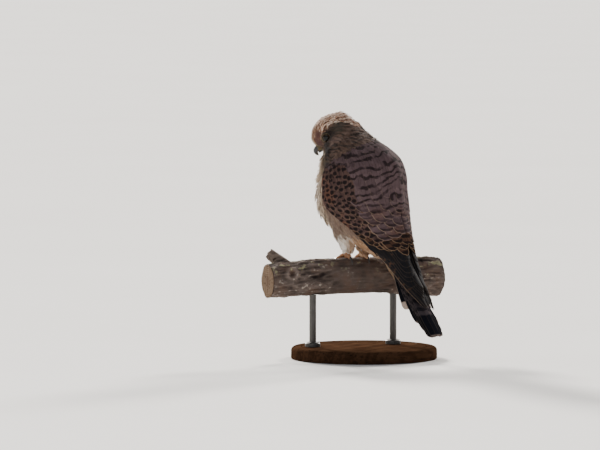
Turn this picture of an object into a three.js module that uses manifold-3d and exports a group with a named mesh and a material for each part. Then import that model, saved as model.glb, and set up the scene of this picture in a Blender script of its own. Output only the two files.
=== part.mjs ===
// A common kestrel, life size, perched on a cut length of branch and carried by a plain display stand.
// Millimetres, +Z up. The bird faces -Y and its left side is +X.
// The origin is the centre of the base's underside.
import * as THREE from "three";
import { mergeVertices } from "three/addons/utils/BufferGeometryUtils.js";
import Module from "manifold-3d";

const wasm = await Module();
wasm.setup();

// Driving dimensions in millimetres and degrees
const GAP = 0.3; // between neighbouring pieces
const PERCH_TOP = 116; // the branch's top above the floor
const FEET_BACK = -16; // the feet's place along Y, ahead of the base's centre
const PERCH_RADIUS = 21;
const PERCH_LENGTH = 212;
const PERCH_TURN = 30; // degrees that the branch is turned from the bird's left-right line
const BASE_RADIUS = 84;
const BASE_THICK = 14;
const ROD_RADIUS = 4;
const ROD_SPREAD = 50; // each rod's distance along the branch from the feet
const FEET_SPREAD = 10.5; // each foot's distance along the branch from their middle
const FEET_SHIFT = 3; // the middle of the feet along the branch
const HEAD_AT = [6.8, -27.5, 143.6];
const HEAD_TURN = 44; // degrees to the bird's left
const HEAD_BOW = 44; // degrees downwards
const EYE_RADIUS = 6.2;
const EYE_AT = [14.2, -8, 0.5]; // in the head's own frame, left eye
const LID_RADIUS = 5; // the ring of the lids round each eye
const LID_RISE = 4.3; // its distance out from the eye's centre
const TAIL_LENGTH = 147;
const SEAM_TURN = 18; // degrees that the left wing laps over to the right at the rear

const UP = new THREE.Vector3(0, 0, 1);
const LEFT = new THREE.Vector3(1, 0, 0);
const sides = [
  ["left", 1],
  ["right", -1],
];
const rad = THREE.MathUtils.degToRad;
const mix = THREE.MathUtils.lerp;
const vec = (x, y, z) => new THREE.Vector3(x, y, z);

// Solids

// A closed geometry as a solid. A shape that came out inside out is turned the right way round.
function solidOf(geometry) {
  const bare = new THREE.BufferGeometry();
  bare.setAttribute("position", geometry.getAttribute("position"));
  bare.setIndex(geometry.getIndex());
  const merged = mergeVertices(bare, 1e-4);
  const build = (triVerts) =>
    new wasm.Manifold(
      new wasm.Mesh({ numProp: 3, vertProperties: merged.attributes.position.array, triVerts }),
    );
  const faces = new Uint32Array(merged.index.array);
  const made = build(faces);
  return made.volume() > 0 ? made : build(faces.reverse());
}

// The same solid with its geometry moved by a matrix first.
const placed = (geometry, matrix) => solidOf(geometry.applyMatrix4(matrix));

const join = (pieces) => wasm.Manifold.union(pieces);

// The largest closed surface of a solid. Sealed hollows are filled and loose scraps dropped.
function largest(solid) {
  const found = solid.decompose();
  return found.reduce((best, one) => (one.volume() > best.volume() ? one : best));
}

// A solid as a geometry that a mesh can show.
function geometryOf(solid) {
  const made = solid.getMesh();
  const points = new Float32Array(made.numVert * 3);
  for (let i = 0; i < made.numVert; i++) {
    points.set(made.vertProperties.subarray(i * made.numProp, i * made.numProp + 3), i * 3);
  }
  const geometry = new THREE.BufferGeometry();
  geometry.setAttribute("position", new THREE.BufferAttribute(points, 3));
  geometry.setIndex(new THREE.BufferAttribute(made.triVerts, 1));
  geometry.computeVertexNormals();
  return geometry;
}

// A closed form from pole to pole: place(share along, angle round in degrees) gives each point.
function loft(along, round, place) {
  const geometry = new THREE.SphereGeometry(1, round, along);
  const position = geometry.getAttribute("position");
  for (let i = 0; i < position.count; i++) {
    const ring = Math.floor(i / (round + 1));
    const p = place(ring / along, ((i % (round + 1)) % round) * (360 / round));
    position.setXYZ(i, p.x, p.y, p.z);
  }
  return geometry;
}

// A sheet with thickness: place(share along, share across, side) gives each point, side 0 below and 1 above.
// Both faces have the same triangles, so that a thin curved sheet never crosses itself.
function slab(rows, columns, place) {
  const points = [];
  const faces = [];
  const at = (i, j, side) => (side * (rows + 1) + i) * (columns + 1) + j;
  const quad = (a, b, c, d) => faces.push(a, b, c, a, c, d);
  for (const side of [0, 1]) {
    for (let i = 0; i <= rows; i++) {
      for (let j = 0; j <= columns; j++) {
        points.push(...place(i / rows, j / columns, side).toArray());
      }
    }
  }
  for (let i = 0; i < rows; i++) {
    for (let j = 0; j < columns; j++) {
      quad(at(i, j, 1), at(i + 1, j, 1), at(i + 1, j + 1, 1), at(i, j + 1, 1));
      faces.push(at(i, j, 0), at(i + 1, j + 1, 0), at(i + 1, j, 0));
      faces.push(at(i, j, 0), at(i, j + 1, 0), at(i + 1, j + 1, 0));
    }
    quad(at(i, 0, 0), at(i + 1, 0, 0), at(i + 1, 0, 1), at(i, 0, 1));
    quad(at(i + 1, columns, 0), at(i, columns, 0), at(i, columns, 1), at(i + 1, columns, 1));
  }
  for (let j = 0; j < columns; j++) {
    quad(at(0, j + 1, 0), at(0, j, 0), at(0, j, 1), at(0, j + 1, 1));
    quad(at(rows, j, 0), at(rows, j + 1, 0), at(rows, j + 1, 1), at(rows, j, 1));
  }
  const geometry = new THREE.BufferGeometry();
  geometry.setAttribute("position", new THREE.Float32BufferAttribute(points, 3));
  geometry.setIndex(faces);
  return geometry;
}

// A form that follows an axis in the bird's middle plane.
// Each station is [y, z, half depth, half width, tilt]. The tilt leans the section back, in degrees.
// point(reach, angle, lift): reach in mm along the axis, angle in degrees from the back round to the left,
// lift in mm out of the surface.
function bodyForm(stations) {
  const axis = new THREE.CatmullRomCurve3(stations.map(([y, z]) => vec(0, y, z)));
  const sizes = new THREE.CatmullRomCurve3(stations.map((s) => vec(s[2], s[3], s[4])));
  const length = axis.getLength();
  const at = (reach) => axis.getUtoTmapping(THREE.MathUtils.clamp(reach / length, 0, 1));
  function point(reach, angle, lift = 0) {
    const t = at(reach);
    const size = sizes.getPoint(t);
    const back = vec(0, Math.cos(rad(size.z)), Math.sin(rad(size.z)));
    const grown = (half) => (half > 0.01 ? half + lift : 0);
    return axis
      .getPoint(t)
      .addScaledVector(back, grown(size.x) * Math.cos(rad(angle)))
      .addScaledVector(LEFT, grown(size.y) * Math.sin(rad(angle)));
  }
  // The mean radius of the section at a reach
  function radius(reach) {
    const size = sizes.getPoint(at(reach));
    return (size.x + size.y) / 2;
  }
  return { length, point, radius };
}

// A tapering tube along a curve, from pole to pole. radii(share) gives [half width, half height].
function horn(curve, along, round, radii, sideways = LEFT) {
  return loft(along, round, (share, angle) => {
    const centre = curve.getPoint(share);
    const tangent = curve.getTangent(share);
    const across = sideways.clone().addScaledVector(tangent, -sideways.dot(tangent)).normalize();
    const over = tangent.clone().cross(across);
    const [wide, high] = radii(share);
    const ends = share === 0 || share === 1 ? 0 : 1;
    return centre
      .addScaledVector(across, wide * ends * Math.cos(rad(angle)))
      .addScaledVector(over, high * ends * Math.sin(rad(angle)));
  });
}

// Everything on one side of a plane through a point, as a large block
function beyond(point, normal) {
  const size = 600;
  const turn = new THREE.Quaternion().setFromUnitVectors(UP, normal.clone().normalize());
  const centre = point.clone().addScaledVector(normal.clone().normalize(), size / 2);
  const matrix = new THREE.Matrix4().compose(centre, turn, vec(1, 1, 1));
  return placed(new THREE.BoxGeometry(size, size, size), matrix);
}

// The neck and torso are one form, from inside the head to the rump.

const torsoForm = bodyForm([
  [-21, 153, 0, 0, 40],
  [-18, 144.5, 22.5, 21, 38],
  [-12, 130.5, 28, 30, 33],
  [-2, 117, 37.5, 37, 26],
  [4, 104, 44.5, 42, 18],
  [7, 88, 50.5, 44.5, 13],
  [8, 71, 52, 45.5, 13],
  [14, 56, 47.5, 44.5, 20],
  [25, 41, 37.5, 39, 30],
  [38, 25, 25.5, 30, 36],
  [50, 9, 14.5, 20, 36],
  [60, -4, 0, 0, 36],
]);
const torsoSolid = (lift) =>
  solidOf(loft(20, 18, (share, angle) => torsoForm.point(share * torsoForm.length, angle, lift)));

// The head, in its own frame: it looks along -Y. Each station is [forward, height, half height, half width].
const headFrame = new THREE.Matrix4().compose(
  vec(...HEAD_AT),
  new THREE.Quaternion().setFromEuler(new THREE.Euler(rad(HEAD_BOW), 0, rad(HEAD_TURN), "ZYX")),
  vec(1, 1, 1),
);
const headStations = [
  [-29, -6, 0, 0],
  [-25, -5, 13, 14],
  [-15, -3, 18.5, 19.5],
  [-3, -1, 21, 21],
  [7, -1, 20.5, 19.5],
  [14, -0.5, 17.5, 15.5],
  [19, 1, 12.5, 10.5],
  [22.5, 3, 6.5, 6],
  [24, 3.5, 0, 0],
];
const headAxis = new THREE.CatmullRomCurve3(headStations.map(([f, h]) => vec(0, -f, h)));
const headSizes = new THREE.CatmullRomCurve3(headStations.map((s) => vec(s[2], s[3], 0)));
function headSolid(lift) {
  const geometry = loft(16, 18, (share, angle) => {
    const centre = headAxis.getPoint(share);
    const size = headSizes.getPoint(share);
    const grow = size.x > 0.01 ? lift : 0;
    return centre
      .addScaledVector(UP, (size.x + grow) * Math.cos(rad(angle)))
      .addScaledVector(LEFT, (size.y + grow) * Math.sin(rad(angle)));
  });
  return placed(geometry, headFrame);
}

// The bill: one hooked form whose root is the cere, and a shorter lower mandible
const CERE_END = 24;
const upperCurve = new THREE.CubicBezierCurve3(
  vec(0, -16, -3.6),
  vec(0, -24.5, -2.8),
  vec(0, -30.2, -2),
  vec(0, -28.4, -10),
);
const lowerCurve = new THREE.QuadraticBezierCurve3(vec(0, -15, -8), vec(0, -22.5, -8.3), vec(0, -26.2, -7.5));
const upperBill = placed(
  horn(upperCurve, 14, 14, (s) => [5.6 * Math.pow(1 - s, 0.75) + 0.15, 4.5 * Math.pow(1 - s, 0.55) + 0.2]),
  headFrame,
);
const lowerBill = placed(
  horn(lowerCurve, 8, 12, (s) => [4.6 * Math.pow(1 - s, 0.5) + 0.2, 2.1 * Math.pow(1 - s, 0.4) + 0.2]),
  headFrame,
);
const inHead = (x, y, z) => vec(x, y, z).applyMatrix4(headFrame);
const headForward = vec(0, -1, 0).transformDirection(headFrame);

// The surface that the folded wings lie on, from the neck to the wing tips
const mantle = bodyForm([
  [-2, 121.5, 31.5, 28.5, 26],
  [4.5, 111.5, 39.5, 37.5, 22],
  [9.5, 100, 47.5, 43, 17],
  [11.5, 84, 51, 45, 13],
  [11, 68, 51.5, 45.5, 12],
  [19, 52, 45, 43, 16],
  [34, 31, 32.5, 36, 23],
  [48.8, 11, 22, 29, 28],
  [63.2, -8, 16.5, 22.5, 32],
  [80, -31, 11.5, 17.5, 34],
  [96, -50, 9, 15, 34],
  [108.5, -68, 6.5, 11.5, 34],
]);

// One folded wing: a pad from the shoulder to the wing tip
const wingLow = new THREE.SplineCurve(
  [126, 118, 107, 92, 87, 86, 83, 72].map((angle, i) => new THREE.Vector2(i, angle)),
);

// A point of a wing: reach in mm from the neck, share across from the wings' seam to the lower edge,
// and lift. The edges are the angles of the seam and of the lower edge, and the span is the width
// between them in mm.
function wingEdges(side, reach) {
  const share = THREE.MathUtils.clamp(reach / mantle.length, 0, 1);
  return [-side * SEAM_TURN * THREE.MathUtils.smoothstep(share, 0.4, 0.75), wingLow.getPoint(share).y];
}
function wingPoint(side, reach, across, lift) {
  const [seam, low] = wingEdges(side, reach);
  const p = mantle.point(reach, mix(seam, low, across), GAP + lift);
  return p.setX(side * p.x);
}
function wingSpan(side, reach) {
  const [seam, low] = wingEdges(side, reach);
  return rad(low - seam) * (mantle.radius(reach) + 3);
}

// The pad that the feathers' roots are sunk in
const padTop = (reach) => mix(3.4, 2.6, THREE.MathUtils.smoothstep(reach, 95, 130));
function wingPad(side) {
  return solidOf(
    slab(8, 5, (along, across, upper) => {
      const reach = mix(11, 134, along);
      const inside = mix(0.015, 0.985, across);
      const rim = Math.min(1, 8 * (1 - across), 8 * along, 8 * (1 - along) + 0.2);
      return wingPoint(side, reach, inside, upper ? mix(1.4, padTop(reach), rim) : 0.8);
    }),
  );
}

// One feather of a wing. root and tip are [reach, across, lift]; turn lifts its leading edge, in degrees.
function wingVane(side, root, tip, width, turn, rows) {
  const outline = new THREE.SplineCurve(
    [0.55, 0.9, 1, 0.93, 0.42].map((w, i) => new THREE.Vector2(i, w)),
  );
  const span = wingSpan(side, (root[0] + tip[0]) / 2);
  const way = new THREE.Vector2(tip[0] - root[0], (tip[1] - root[1]) * span).normalize();
  return solidOf(
    slab(rows, 1, (along, across, upper) => {
      const share = 1 - Math.pow(1 - along, 1.5);
      const off = (across - 0.5) * width * outline.getPoint(share).y;
      const reach = mix(root[0], tip[0], share) - off * way.y;
      const middle = mix(root[1], tip[1], share);
      const grain = way.x / wingSpan(side, reach);
      const held = THREE.MathUtils.clamp(middle + off * grain, 0.012, 0.99);
      const rise = mix(root[2], tip[2], Math.pow(share, 0.6));
      const lift = rise + ((held - middle) / grain) * Math.tan(rad(turn));
      return wingPoint(side, reach, held, lift + (upper ? 0.27 : -0.27));
    }),
  );
}

// Tiers of feathers from the wing tip up to the shoulder. Each row is
// [count, rows, width first, width last, turn, bow, first root, first tip, last root, last tip], where bow is
// how far the tips' line bulges.
const WING_TIERS = [
  // primaries
  [7, 5, 9.5, 11, 12, 12, [106, 0.93, 1.6], [208, 0.5, 0.8], [122, 0.42, 1.6], [188, 0.14, 4.8]],
  // secondaries
  [3, 5, 14, 16, 4, 0, [104, 0.7, 2.4], [180, 0.34, 5.8], [92, 0.26, 2.4], [153, 0.14, 6]],
  // greater coverts
  [4, 3, 11, 11, -3, 0, [80, 0.94, 2.6], [108, 0.93, 4.8], [104, 0.68, 2.6], [137, 0.72, 6.2]],
  // tertials
  [2, 4, 18, 18, 3, 0, [92, 0.45, 2.6], [144, 0.44, 7.2], [86, 0.16, 2.6], [134, 0.15, 7.4]],
  // median and lesser coverts
  [4, 3, 12, 12, -3, 0, [58, 0.95, 2.2], [87, 0.94, 5.4], [82, 0.66, 2.2], [113, 0.68, 6.4]],
  [4, 3, 13, 13, -3, 0, [40, 0.94, 2.2], [68, 0.93, 5.4], [62, 0.64, 2.2], [91, 0.66, 6]],
  [3, 3, 16, 16, -3, 0, [20, 0.88, 2.2], [48, 0.88, 5.2], [38, 0.64, 2.2], [66, 0.66, 5.8]],
  // scapulars
  [2, 3, 20, 20, 3, 0, [90, 0.42, 2.6], [122, 0.42, 8], [84, 0.15, 2.6], [114, 0.15, 8]],
  [2, 3, 20, 20, 3, 0, [70, 0.45, 2.4], [100, 0.45, 6.6], [66, 0.16, 2.4], [94, 0.16, 6.6]],
  [3, 3, 16, 16, 4, 0, [50, 0.46, 2.2], [80, 0.48, 5.8], [46, 0.13, 2.2], [74, 0.13, 6]],
  [3, 3, 16, 16, 4, 0, [28, 0.52, 2.2], [58, 0.53, 5.4], [24, 0.13, 2.2], [54, 0.13, 5.6]],
  [3, 3, 16, 16, 4, 0, [11, 0.62, 2.2], [36, 0.64, 4.8], [11, 0.13, 2.2], [33, 0.14, 4.8]],
];
function wingSolid(side) {
  const vanes = WING_TIERS.flatMap(([count, rows, first, last, turn, bow, rootA, tipA, rootB, tipB]) =>
    Array.from({ length: count }, (_, i) => {
      const t = i / (count - 1);
      const between = (a, b) => a.map((value, k) => mix(value, b[k], t));
      const tip = between(tipA, tipB);
      tip[0] += bow * Math.sin(Math.PI * Math.min(1, t * 1.7));
      return wingVane(side, between(rootA, rootB), tip, mix(first, last, t), turn, rows);
    }),
  );
  return join([wingPad(side), ...vanes]);
}

// The tail: closed, its feathers stacked with the middle pair on top and the outer pair lowest and shortest
const tailRoot = vec(0, 40, 35);
const tailWay = vec(0, 0.559, -0.829).normalize();
const tailBack = vec(0, -tailWay.z, tailWay.y);
const tailPoint = (x, reach, lift) =>
  tailRoot
    .clone()
    .addScaledVector(tailWay, reach)
    .addScaledVector(LEFT, x)
    .addScaledVector(tailBack, lift - (x > 0 ? 0.012 : 0.006) * x * x);

// One tail feather or covert, from x = rootX to tipX; stop keeps its inner edge off the middle line.
function tailVane(rows, width, [rootX, start, rootLift], [tipX, end, tipLift], stop) {
  const outline = new THREE.SplineCurve(
    [0.6, 0.85, 0.97, 1, 0.95, 0.45].map((w, i) => new THREE.Vector2(i, w)),
  );
  return solidOf(
    slab(rows, 1, (along, across, upper) => {
      const share = 1 - Math.pow(1 - along, 1.5);
      const off = (across - 0.5) * width * outline.getPoint(share).y;
      const x = mix(rootX, tipX, share) + off;
      const held = stop ? Math.sign(tipX) * Math.max(0.2, Math.sign(tipX) * x) : x;
      return tailPoint(held, mix(start, end, share), mix(rootLift, tipLift, share) + (upper ? 0.27 : -0.27));
    }),
  );
}
const TAIL_LENGTHS = [0.985, 0.98, 0.955, 0.91, 0.855, 0.775].map((share) => share * TAIL_LENGTH);
function tailSolid() {
  const core = solidOf(
    slab(4, 2, (along, across, upper) => {
      const x = (across - 0.5) * mix(20, 17, along);
      return tailPoint(x, mix(34, 68, along), upper ? mix(1.5, 0.1, along) : mix(-7, -5.2, along));
    }),
  );
  const feathers = sides.flatMap(([, side]) =>
    TAIL_LENGTHS.map((end, i) => {
      const layer = i === 0 ? (side > 0 ? 0 : -0.9) : -0.9 * (i + 1);
      const root = [side * (1 + 0.7 * i), 50, layer * 0.9];
      const fan = side > 0 ? 1.5 : 6.2; // the right half is more open
      return tailVane(5, 18 - i, root, [side * (1.2 + fan * i), end, layer], i > 0);
    }),
  );
  const coverts = [
    [-4.5, 88, 1.5],
    [4.5, 88, 2.3],
    [-6, 84, -7],
    [6, 84, -7.8],
    [0, 94, -6.3],
  ].map(([x, end, lift]) => tailVane(3, 13, [x * 0.6, 40, lift > 0 ? 0.8 : -6], [x, end, lift], false));
  return join([core, ...feathers, ...coverts]);
}

// The perch: a barked branch under the feet
const perchWay = vec(-Math.cos(rad(PERCH_TURN)), Math.sin(rad(PERCH_TURN)), 0);
const perchFront = vec(-Math.sin(rad(PERCH_TURN)), -Math.cos(rad(PERCH_TURN)), 0);
const perchCentre = vec(0, 0, -PERCH_RADIUS);
function perchSolid(lift) {
  const round = 18;
  const along = 13;
  const geometry = new THREE.CylinderGeometry(1, 1, PERCH_LENGTH, round, along);
  const position = geometry.getAttribute("position");
  for (let i = 0; i < position.count; i++) {
    const s = position.getY(i);
    const share = Math.hypot(position.getX(i), position.getZ(i));
    const angle = Math.atan2(position.getX(i), position.getZ(i));
    const ridges = 0.7 * Math.cos(5 * angle + 0.02 * s) + 0.5 * Math.cos(9 * angle - 0.05 * s);
    const away = THREE.MathUtils.smoothstep(Math.abs(s), 30, 70);
    const radius = share < 0.01 ? 0 : PERCH_RADIUS + lift + away * (ridges + 0.012 * s);
    const bow = -0.00035 * s * s;
    const p = perchCentre
      .clone()
      .addScaledVector(perchWay, s)
      .addScaledVector(perchFront, radius * Math.sin(angle))
      .addScaledVector(UP, radius * Math.cos(angle) + bow);
    position.setXYZ(i, p.x, p.y, p.z);
  }
  // The broken stub of a side branch
  const stubRoot = perchCentre.clone().addScaledVector(perchWay, -66);
  const stubWay = perchWay
    .clone()
    .multiplyScalar(-0.62)
    .addScaledVector(perchFront, 0.55)
    .addScaledVector(UP, 0.56);
  const turn = new THREE.Quaternion().setFromUnitVectors(vec(0, 1, 0), stubWay.normalize());
  const stub = new THREE.CylinderGeometry(6.5 + lift, 9.5 + lift, 46, 10, 2);
  const stubAt = stubRoot.addScaledVector(stubWay, 22);
  return join([solidOf(geometry), placed(stub, new THREE.Matrix4().compose(stubAt, turn, vec(1, 1, 1)))]);
}

// Feet: each toe wraps the branch. Each row is [name, spread in degrees, length, thickness, way].
const TOES = [
  ["middle", 2, 25, 2.5, 1],
  ["inner", -19, 17, 2.5, 1],
  ["outer", 26, 18, 2.2, 1],
  ["hind", 0, 12, 2.6, -1],
];
const CLAW_LENGTH = 9;

// A point over the branch: along it, round it from the top towards the front, and up from its surface
function onPerch(along, round, height) {
  const reach = PERCH_RADIUS + height;
  return perchCentre
    .clone()
    .addScaledVector(perchWay, along)
    .addScaledVector(perchFront, reach * Math.sin(round))
    .addScaledVector(UP, reach * Math.cos(round));
}

function toePath(foot, spread, way, from, to, height) {
  const points = [];
  for (let i = 0; i <= 6; i++) {
    const run = mix(from, to, i / 6);
    const side = foot + run * Math.sin(rad(spread));
    points.push(onPerch(side, (way * run * Math.cos(rad(spread))) / (PERCH_RADIUS + 3), height(i / 6)));
  }
  return new THREE.CatmullRomCurve3(points);
}

function toeSolid(foot, mirror, [, spread, length, thick, way]) {
  const curve = toePath(foot, mirror * spread, way, 0, length, (s) => thick * (0.95 - 0.15 * s));
  return solidOf(
    horn(curve, 10, 7, (s) => {
      const plate = Math.round(s * 10) % 2 ? 1.07 : 0.93;
      const r = thick * mix(1, 0.75, s) * plate;
      return [r, r];
    }, UP),
  );
}

function clawSolid(foot, mirror, [, spread, length, thick, way]) {
  const curve = toePath(foot, mirror * spread, way, length - 1.5, length + CLAW_LENGTH, (s) =>
    mix(thick * 0.85, 0.35, s) + 1.3 * Math.sin(Math.PI * s),
  );
  return solidOf(
    horn(curve, 8, 8, (s) => {
      const r = 1.55 * Math.pow(1 - s, 0.7) + 0.08;
      return [r, r * 1.1];
    }, UP),
  );
}

// The shank, from the toes up to the feathered thigh
function shankSolid(foot, side) {
  const curve = new THREE.CatmullRomCurve3([
    onPerch(foot, 0, -0.5),
    onPerch(foot, 0, 3).add(vec(0, 0.5, 0)),
    onPerch(foot, 0, 14).add(vec(side, 3, 0)),
    onPerch(foot, 0, 34).add(vec(side * 3, 10, 0)),
  ]);
  return solidOf(
    horn(curve, 6, 8, (s) => [mix(3.4, 2.6, s), mix(3.2, 2.6, s)], vec(0, 1, 0)),
  );
}

function thighSolid(foot, side, lift) {
  const ankle = onPerch(foot, 0, 11).add(vec(side, 2, 0));
  const curve = new THREE.CatmullRomCurve3([
    ankle,
    ankle.clone().add(vec(side * 1, 1, 6)),
    ankle.clone().add(vec(side * 3.5, 2.5, 16)),
    ankle.clone().add(vec(side * 8, 6, 30)),
    ankle.clone().add(vec(side * 12, 11, 46)),
  ]);
  return solidOf(
    horn(curve, 11, 14, (s) => {
      const r = 4.2 + 14.5 * Math.pow(Math.sin(Math.PI * Math.min(1, 0.03 + s * 0.75)), 1.5);
      return [r + lift, r + lift];
    }, LEFT),
  );
}

// Materials
const finish = (color, roughness = 0.85) => new THREE.MeshStandardMaterial({ color, roughness, metalness: 0 });
const plumage = finish(0x7a5d4c);
const paleDown = finish(0xd8c3a6);
const flight = finish(0x2b2724);
const skin = finish(0xd99a3c, 0.6);
const horny = finish(0x3a3d42, 0.4);
const eyeDark = finish(0x120d0a, 0.1);
const bark = finish(0x6e6058);
const woodBase = finish(0x3b2a20, 0.5);
const rodSteel = new THREE.MeshStandardMaterial({ color: 0x33332f, roughness: 0.4, metalness: 0.8 });

const bird = new THREE.Group();
bird.position.set(0, FEET_BACK, PERCH_TOP);
function add(name, solid, material) {
  const mesh = new THREE.Mesh(geometryOf(largest(solid)), material);
  mesh.name = name;
  bird.add(mesh);
  return solid;
}

// Head, neck and torso, parted by two thin cuts
const HEAD_CUT = { at: vec(0, -12, 128.5), normal: vec(0, -0.39, 0.92) };
const NECK_CUT = { at: vec(0, 0, 111.5), normal: vec(0, -0.22, 0.976) };
const above = (cut, lift) => beyond(cut.at.clone().addScaledVector(cut.normal, lift), cut.normal);
const eyes = sides.map(([, side]) => {
  const [x, y, z] = EYE_AT;
  return inHead(side * x, y, z);
});
const ball = (at, radius) =>
  placed(new THREE.SphereGeometry(radius, 14, 10), new THREE.Matrix4().setPosition(at));

// The lids: a ring round each eye. The mouth line: a groove from the bill's corner back under the eye.
const lids = sides.map(([, side]) => {
  const outward = vec(side * 0.95, -0.3, 0.03).normalize();
  const turn = new THREE.Quaternion().setFromUnitVectors(UP, outward);
  const centre = vec(side * EYE_AT[0], EYE_AT[1], EYE_AT[2]).addScaledVector(outward, LID_RISE);
  const matrix = new THREE.Matrix4().compose(centre, turn, vec(1, 1, 1));
  return placed(new THREE.TorusGeometry(LID_RADIUS, 1.1, 5, 13), matrix.premultiply(headFrame));
});
const grooves = sides.map(([, side]) => {
  const line = new THREE.QuadraticBezierCurve3(
    vec(side * 2.5, -23.5, -7.4),
    vec(side * 8.5, -19, -8),
    vec(side * 14.5, -11, -7.8),
  );
  return placed(horn(line, 6, 5, () => [0.45, 0.45], UP), headFrame);
});

const trunk = torsoSolid(0);
const skull = headSolid(0);
const body = join([trunk, skull]);
const sockets = join([...eyes.map((at) => ball(at, EYE_RADIUS + GAP)), ...grooves]);
const headBody = join([body.intersect(above(HEAD_CUT, GAP / 2)), ...lids]).subtract(sockets);
const neckBody = body.subtract(above(HEAD_CUT, -GAP / 2)).intersect(above(NECK_CUT, GAP / 2));
const torsoBody = body.subtract(above(NECK_CUT, -GAP / 2));
add("head", headBody, plumage);
add("neck", neckBody, plumage);
add("torso", torsoBody, plumage);
sides.forEach(([name], i) => add("eye_" + name, ball(eyes[i], EYE_RADIUS), eyeDark));

// Bill: the cere is the root of the upper form
const fleshGrown = join([torsoSolid(GAP), headSolid(GAP)]);
const cereCut = beyond(inHead(0, -CERE_END, 0), headForward);
const hornCut = beyond(inHead(0, -CERE_END - GAP, 0), headForward);
// A round nostril on each side of the cere
const nostrils = sides.map(([, side]) => {
  const turn = new THREE.Quaternion().setFromUnitVectors(vec(0, 1, 0), vec(side, -0.25, 0.2).normalize());
  const matrix = new THREE.Matrix4().compose(vec(side * 4.2, -22.7, -2.2), turn, vec(1, 1, 1));
  return placed(new THREE.CylinderGeometry(0.75, 0.75, 2.4, 8), matrix.premultiply(headFrame));
});
const upperFree = upperBill.subtract(fleshGrown).subtract(join(nostrils));
const upperGrown = placed(
  horn(upperCurve, 14, 14, (s) => [
    5.6 * Math.pow(1 - s, 0.75) + 0.15 + GAP,
    4.5 * Math.pow(1 - s, 0.55) + 0.2 + GAP,
  ]),
  headFrame,
);
add("cere", upperFree.subtract(cereCut), skin);
add("bill_upper", upperFree.intersect(hornCut), horny);
add("bill_lower", lowerBill.subtract(fleshGrown).subtract(upperGrown), horny);

// Wings and tail
sides.forEach(([name, side]) => {
  add("wing_" + name, wingSolid(side).subtract(fleshGrown), flight);
});
add("tail", tailSolid().subtract(fleshGrown), flight);

// Legs and feet
const perchGrown = perchSolid(GAP);
sides.forEach(([name, side]) => {
  const foot = FEET_SHIFT - side * FEET_SPREAD;
  const toes = TOES.map((toe) => toeSolid(foot, -side, toe));
  const thigh = thighSolid(foot, side, 0).subtract(fleshGrown);
  const footSolid = join([shankSolid(foot, side), ...toes])
    .subtract(thighSolid(foot, side, GAP))
    .subtract(fleshGrown)
    .subtract(perchGrown);
  const claws = TOES.map((toe) => clawSolid(foot, -side, toe));
  add("thigh_" + name, thigh, paleDown);
  add("foot_" + name, footSolid.subtract(join(claws)), skin);
  TOES.forEach(([toeName], i) => {
    add("claw_" + name + "_" + toeName, claws[i].subtract(perchGrown), horny);
  });
});

// Perch and stand
const perch = perchSolid(0);
add("perch_branch", perch, bark);
const rodPlace = (way) => perchWay.clone().multiplyScalar(way * ROD_SPREAD);
[
  ["stand_rod_left", -1],
  ["stand_rod_right", 1],
].forEach(([name, way]) => {
  const height = PERCH_TOP - PERCH_RADIUS - BASE_THICK;
  const at = rodPlace(way).setZ(-PERCH_TOP + BASE_THICK + GAP + height / 2);
  const turn = new THREE.Quaternion().setFromUnitVectors(vec(0, 1, 0), UP);
  const rod = placed(
    new THREE.CylinderGeometry(ROD_RADIUS, ROD_RADIUS, height, 16),
    new THREE.Matrix4().compose(at, turn, vec(1, 1, 1)),
  );
  add(name, rod.subtract(perchGrown), rodSteel);
});
const baseProfile = [
  [0, 0],
  [BASE_RADIUS - 1.5, 0],
  [BASE_RADIUS, 1.5],
  [BASE_RADIUS, BASE_THICK - 4],
  [BASE_RADIUS - 1.2, BASE_THICK - 1.2],
  [BASE_RADIUS - 4, BASE_THICK],
  [0, BASE_THICK],
].map(([r, z]) => new THREE.Vector2(r, z));
const lathe = new THREE.LatheGeometry(baseProfile, 36);
lathe.rotateX(Math.PI / 2);
lathe.translate(0, -FEET_BACK, -PERCH_TOP);
add("stand_base", solidOf(lathe), woodBase);

const kestrel = new THREE.Group();
kestrel.add(bird);
export default kestrel;
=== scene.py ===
"""A common kestrel, life size, on a cut length of branch over a plain display stand.

Metres, +Z up. The bird faces -Y and its left side is +X. Each section makes one piece, or a
group of like pieces, in the order in which such a model is put together.
"""

import itertools
import math

import bmesh
import bpy
import numpy as np
from mathutils import Matrix, Vector, noise
from mathutils.bvhtree import BVHTree


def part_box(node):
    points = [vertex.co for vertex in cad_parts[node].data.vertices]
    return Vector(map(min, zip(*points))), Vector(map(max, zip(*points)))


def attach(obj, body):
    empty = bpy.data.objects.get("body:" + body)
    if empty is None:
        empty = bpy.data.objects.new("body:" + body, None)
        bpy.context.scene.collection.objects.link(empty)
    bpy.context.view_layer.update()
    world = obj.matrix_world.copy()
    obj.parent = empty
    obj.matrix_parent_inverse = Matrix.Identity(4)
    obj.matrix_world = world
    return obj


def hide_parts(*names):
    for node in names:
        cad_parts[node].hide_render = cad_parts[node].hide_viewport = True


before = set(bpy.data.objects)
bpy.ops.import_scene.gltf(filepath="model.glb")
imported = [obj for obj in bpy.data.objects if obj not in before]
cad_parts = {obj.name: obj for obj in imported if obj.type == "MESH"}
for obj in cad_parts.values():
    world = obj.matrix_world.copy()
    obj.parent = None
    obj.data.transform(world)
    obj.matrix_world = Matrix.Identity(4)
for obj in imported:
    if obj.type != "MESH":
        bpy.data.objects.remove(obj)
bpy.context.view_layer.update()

# ------------------------------------------------------------------ The display base
# A turned disc of dark stained hardwood. Its shoulder is rounded, a fine line is cut into its
# top, and its foot is eased so that it doesn't chip.
BASE_RADIUS = 0.084
BASE_THICK = 0.014
LINE_INSET, LINE_WIDTH, LINE_DEPTH = 0.0115, 0.0012, 0.0009
SHOULDER, EASE = 0.0045, 0.0014  # the bevels of the upper and the lower edge
CLOSE = 1e-5  # heights that differ by less are the same


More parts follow.
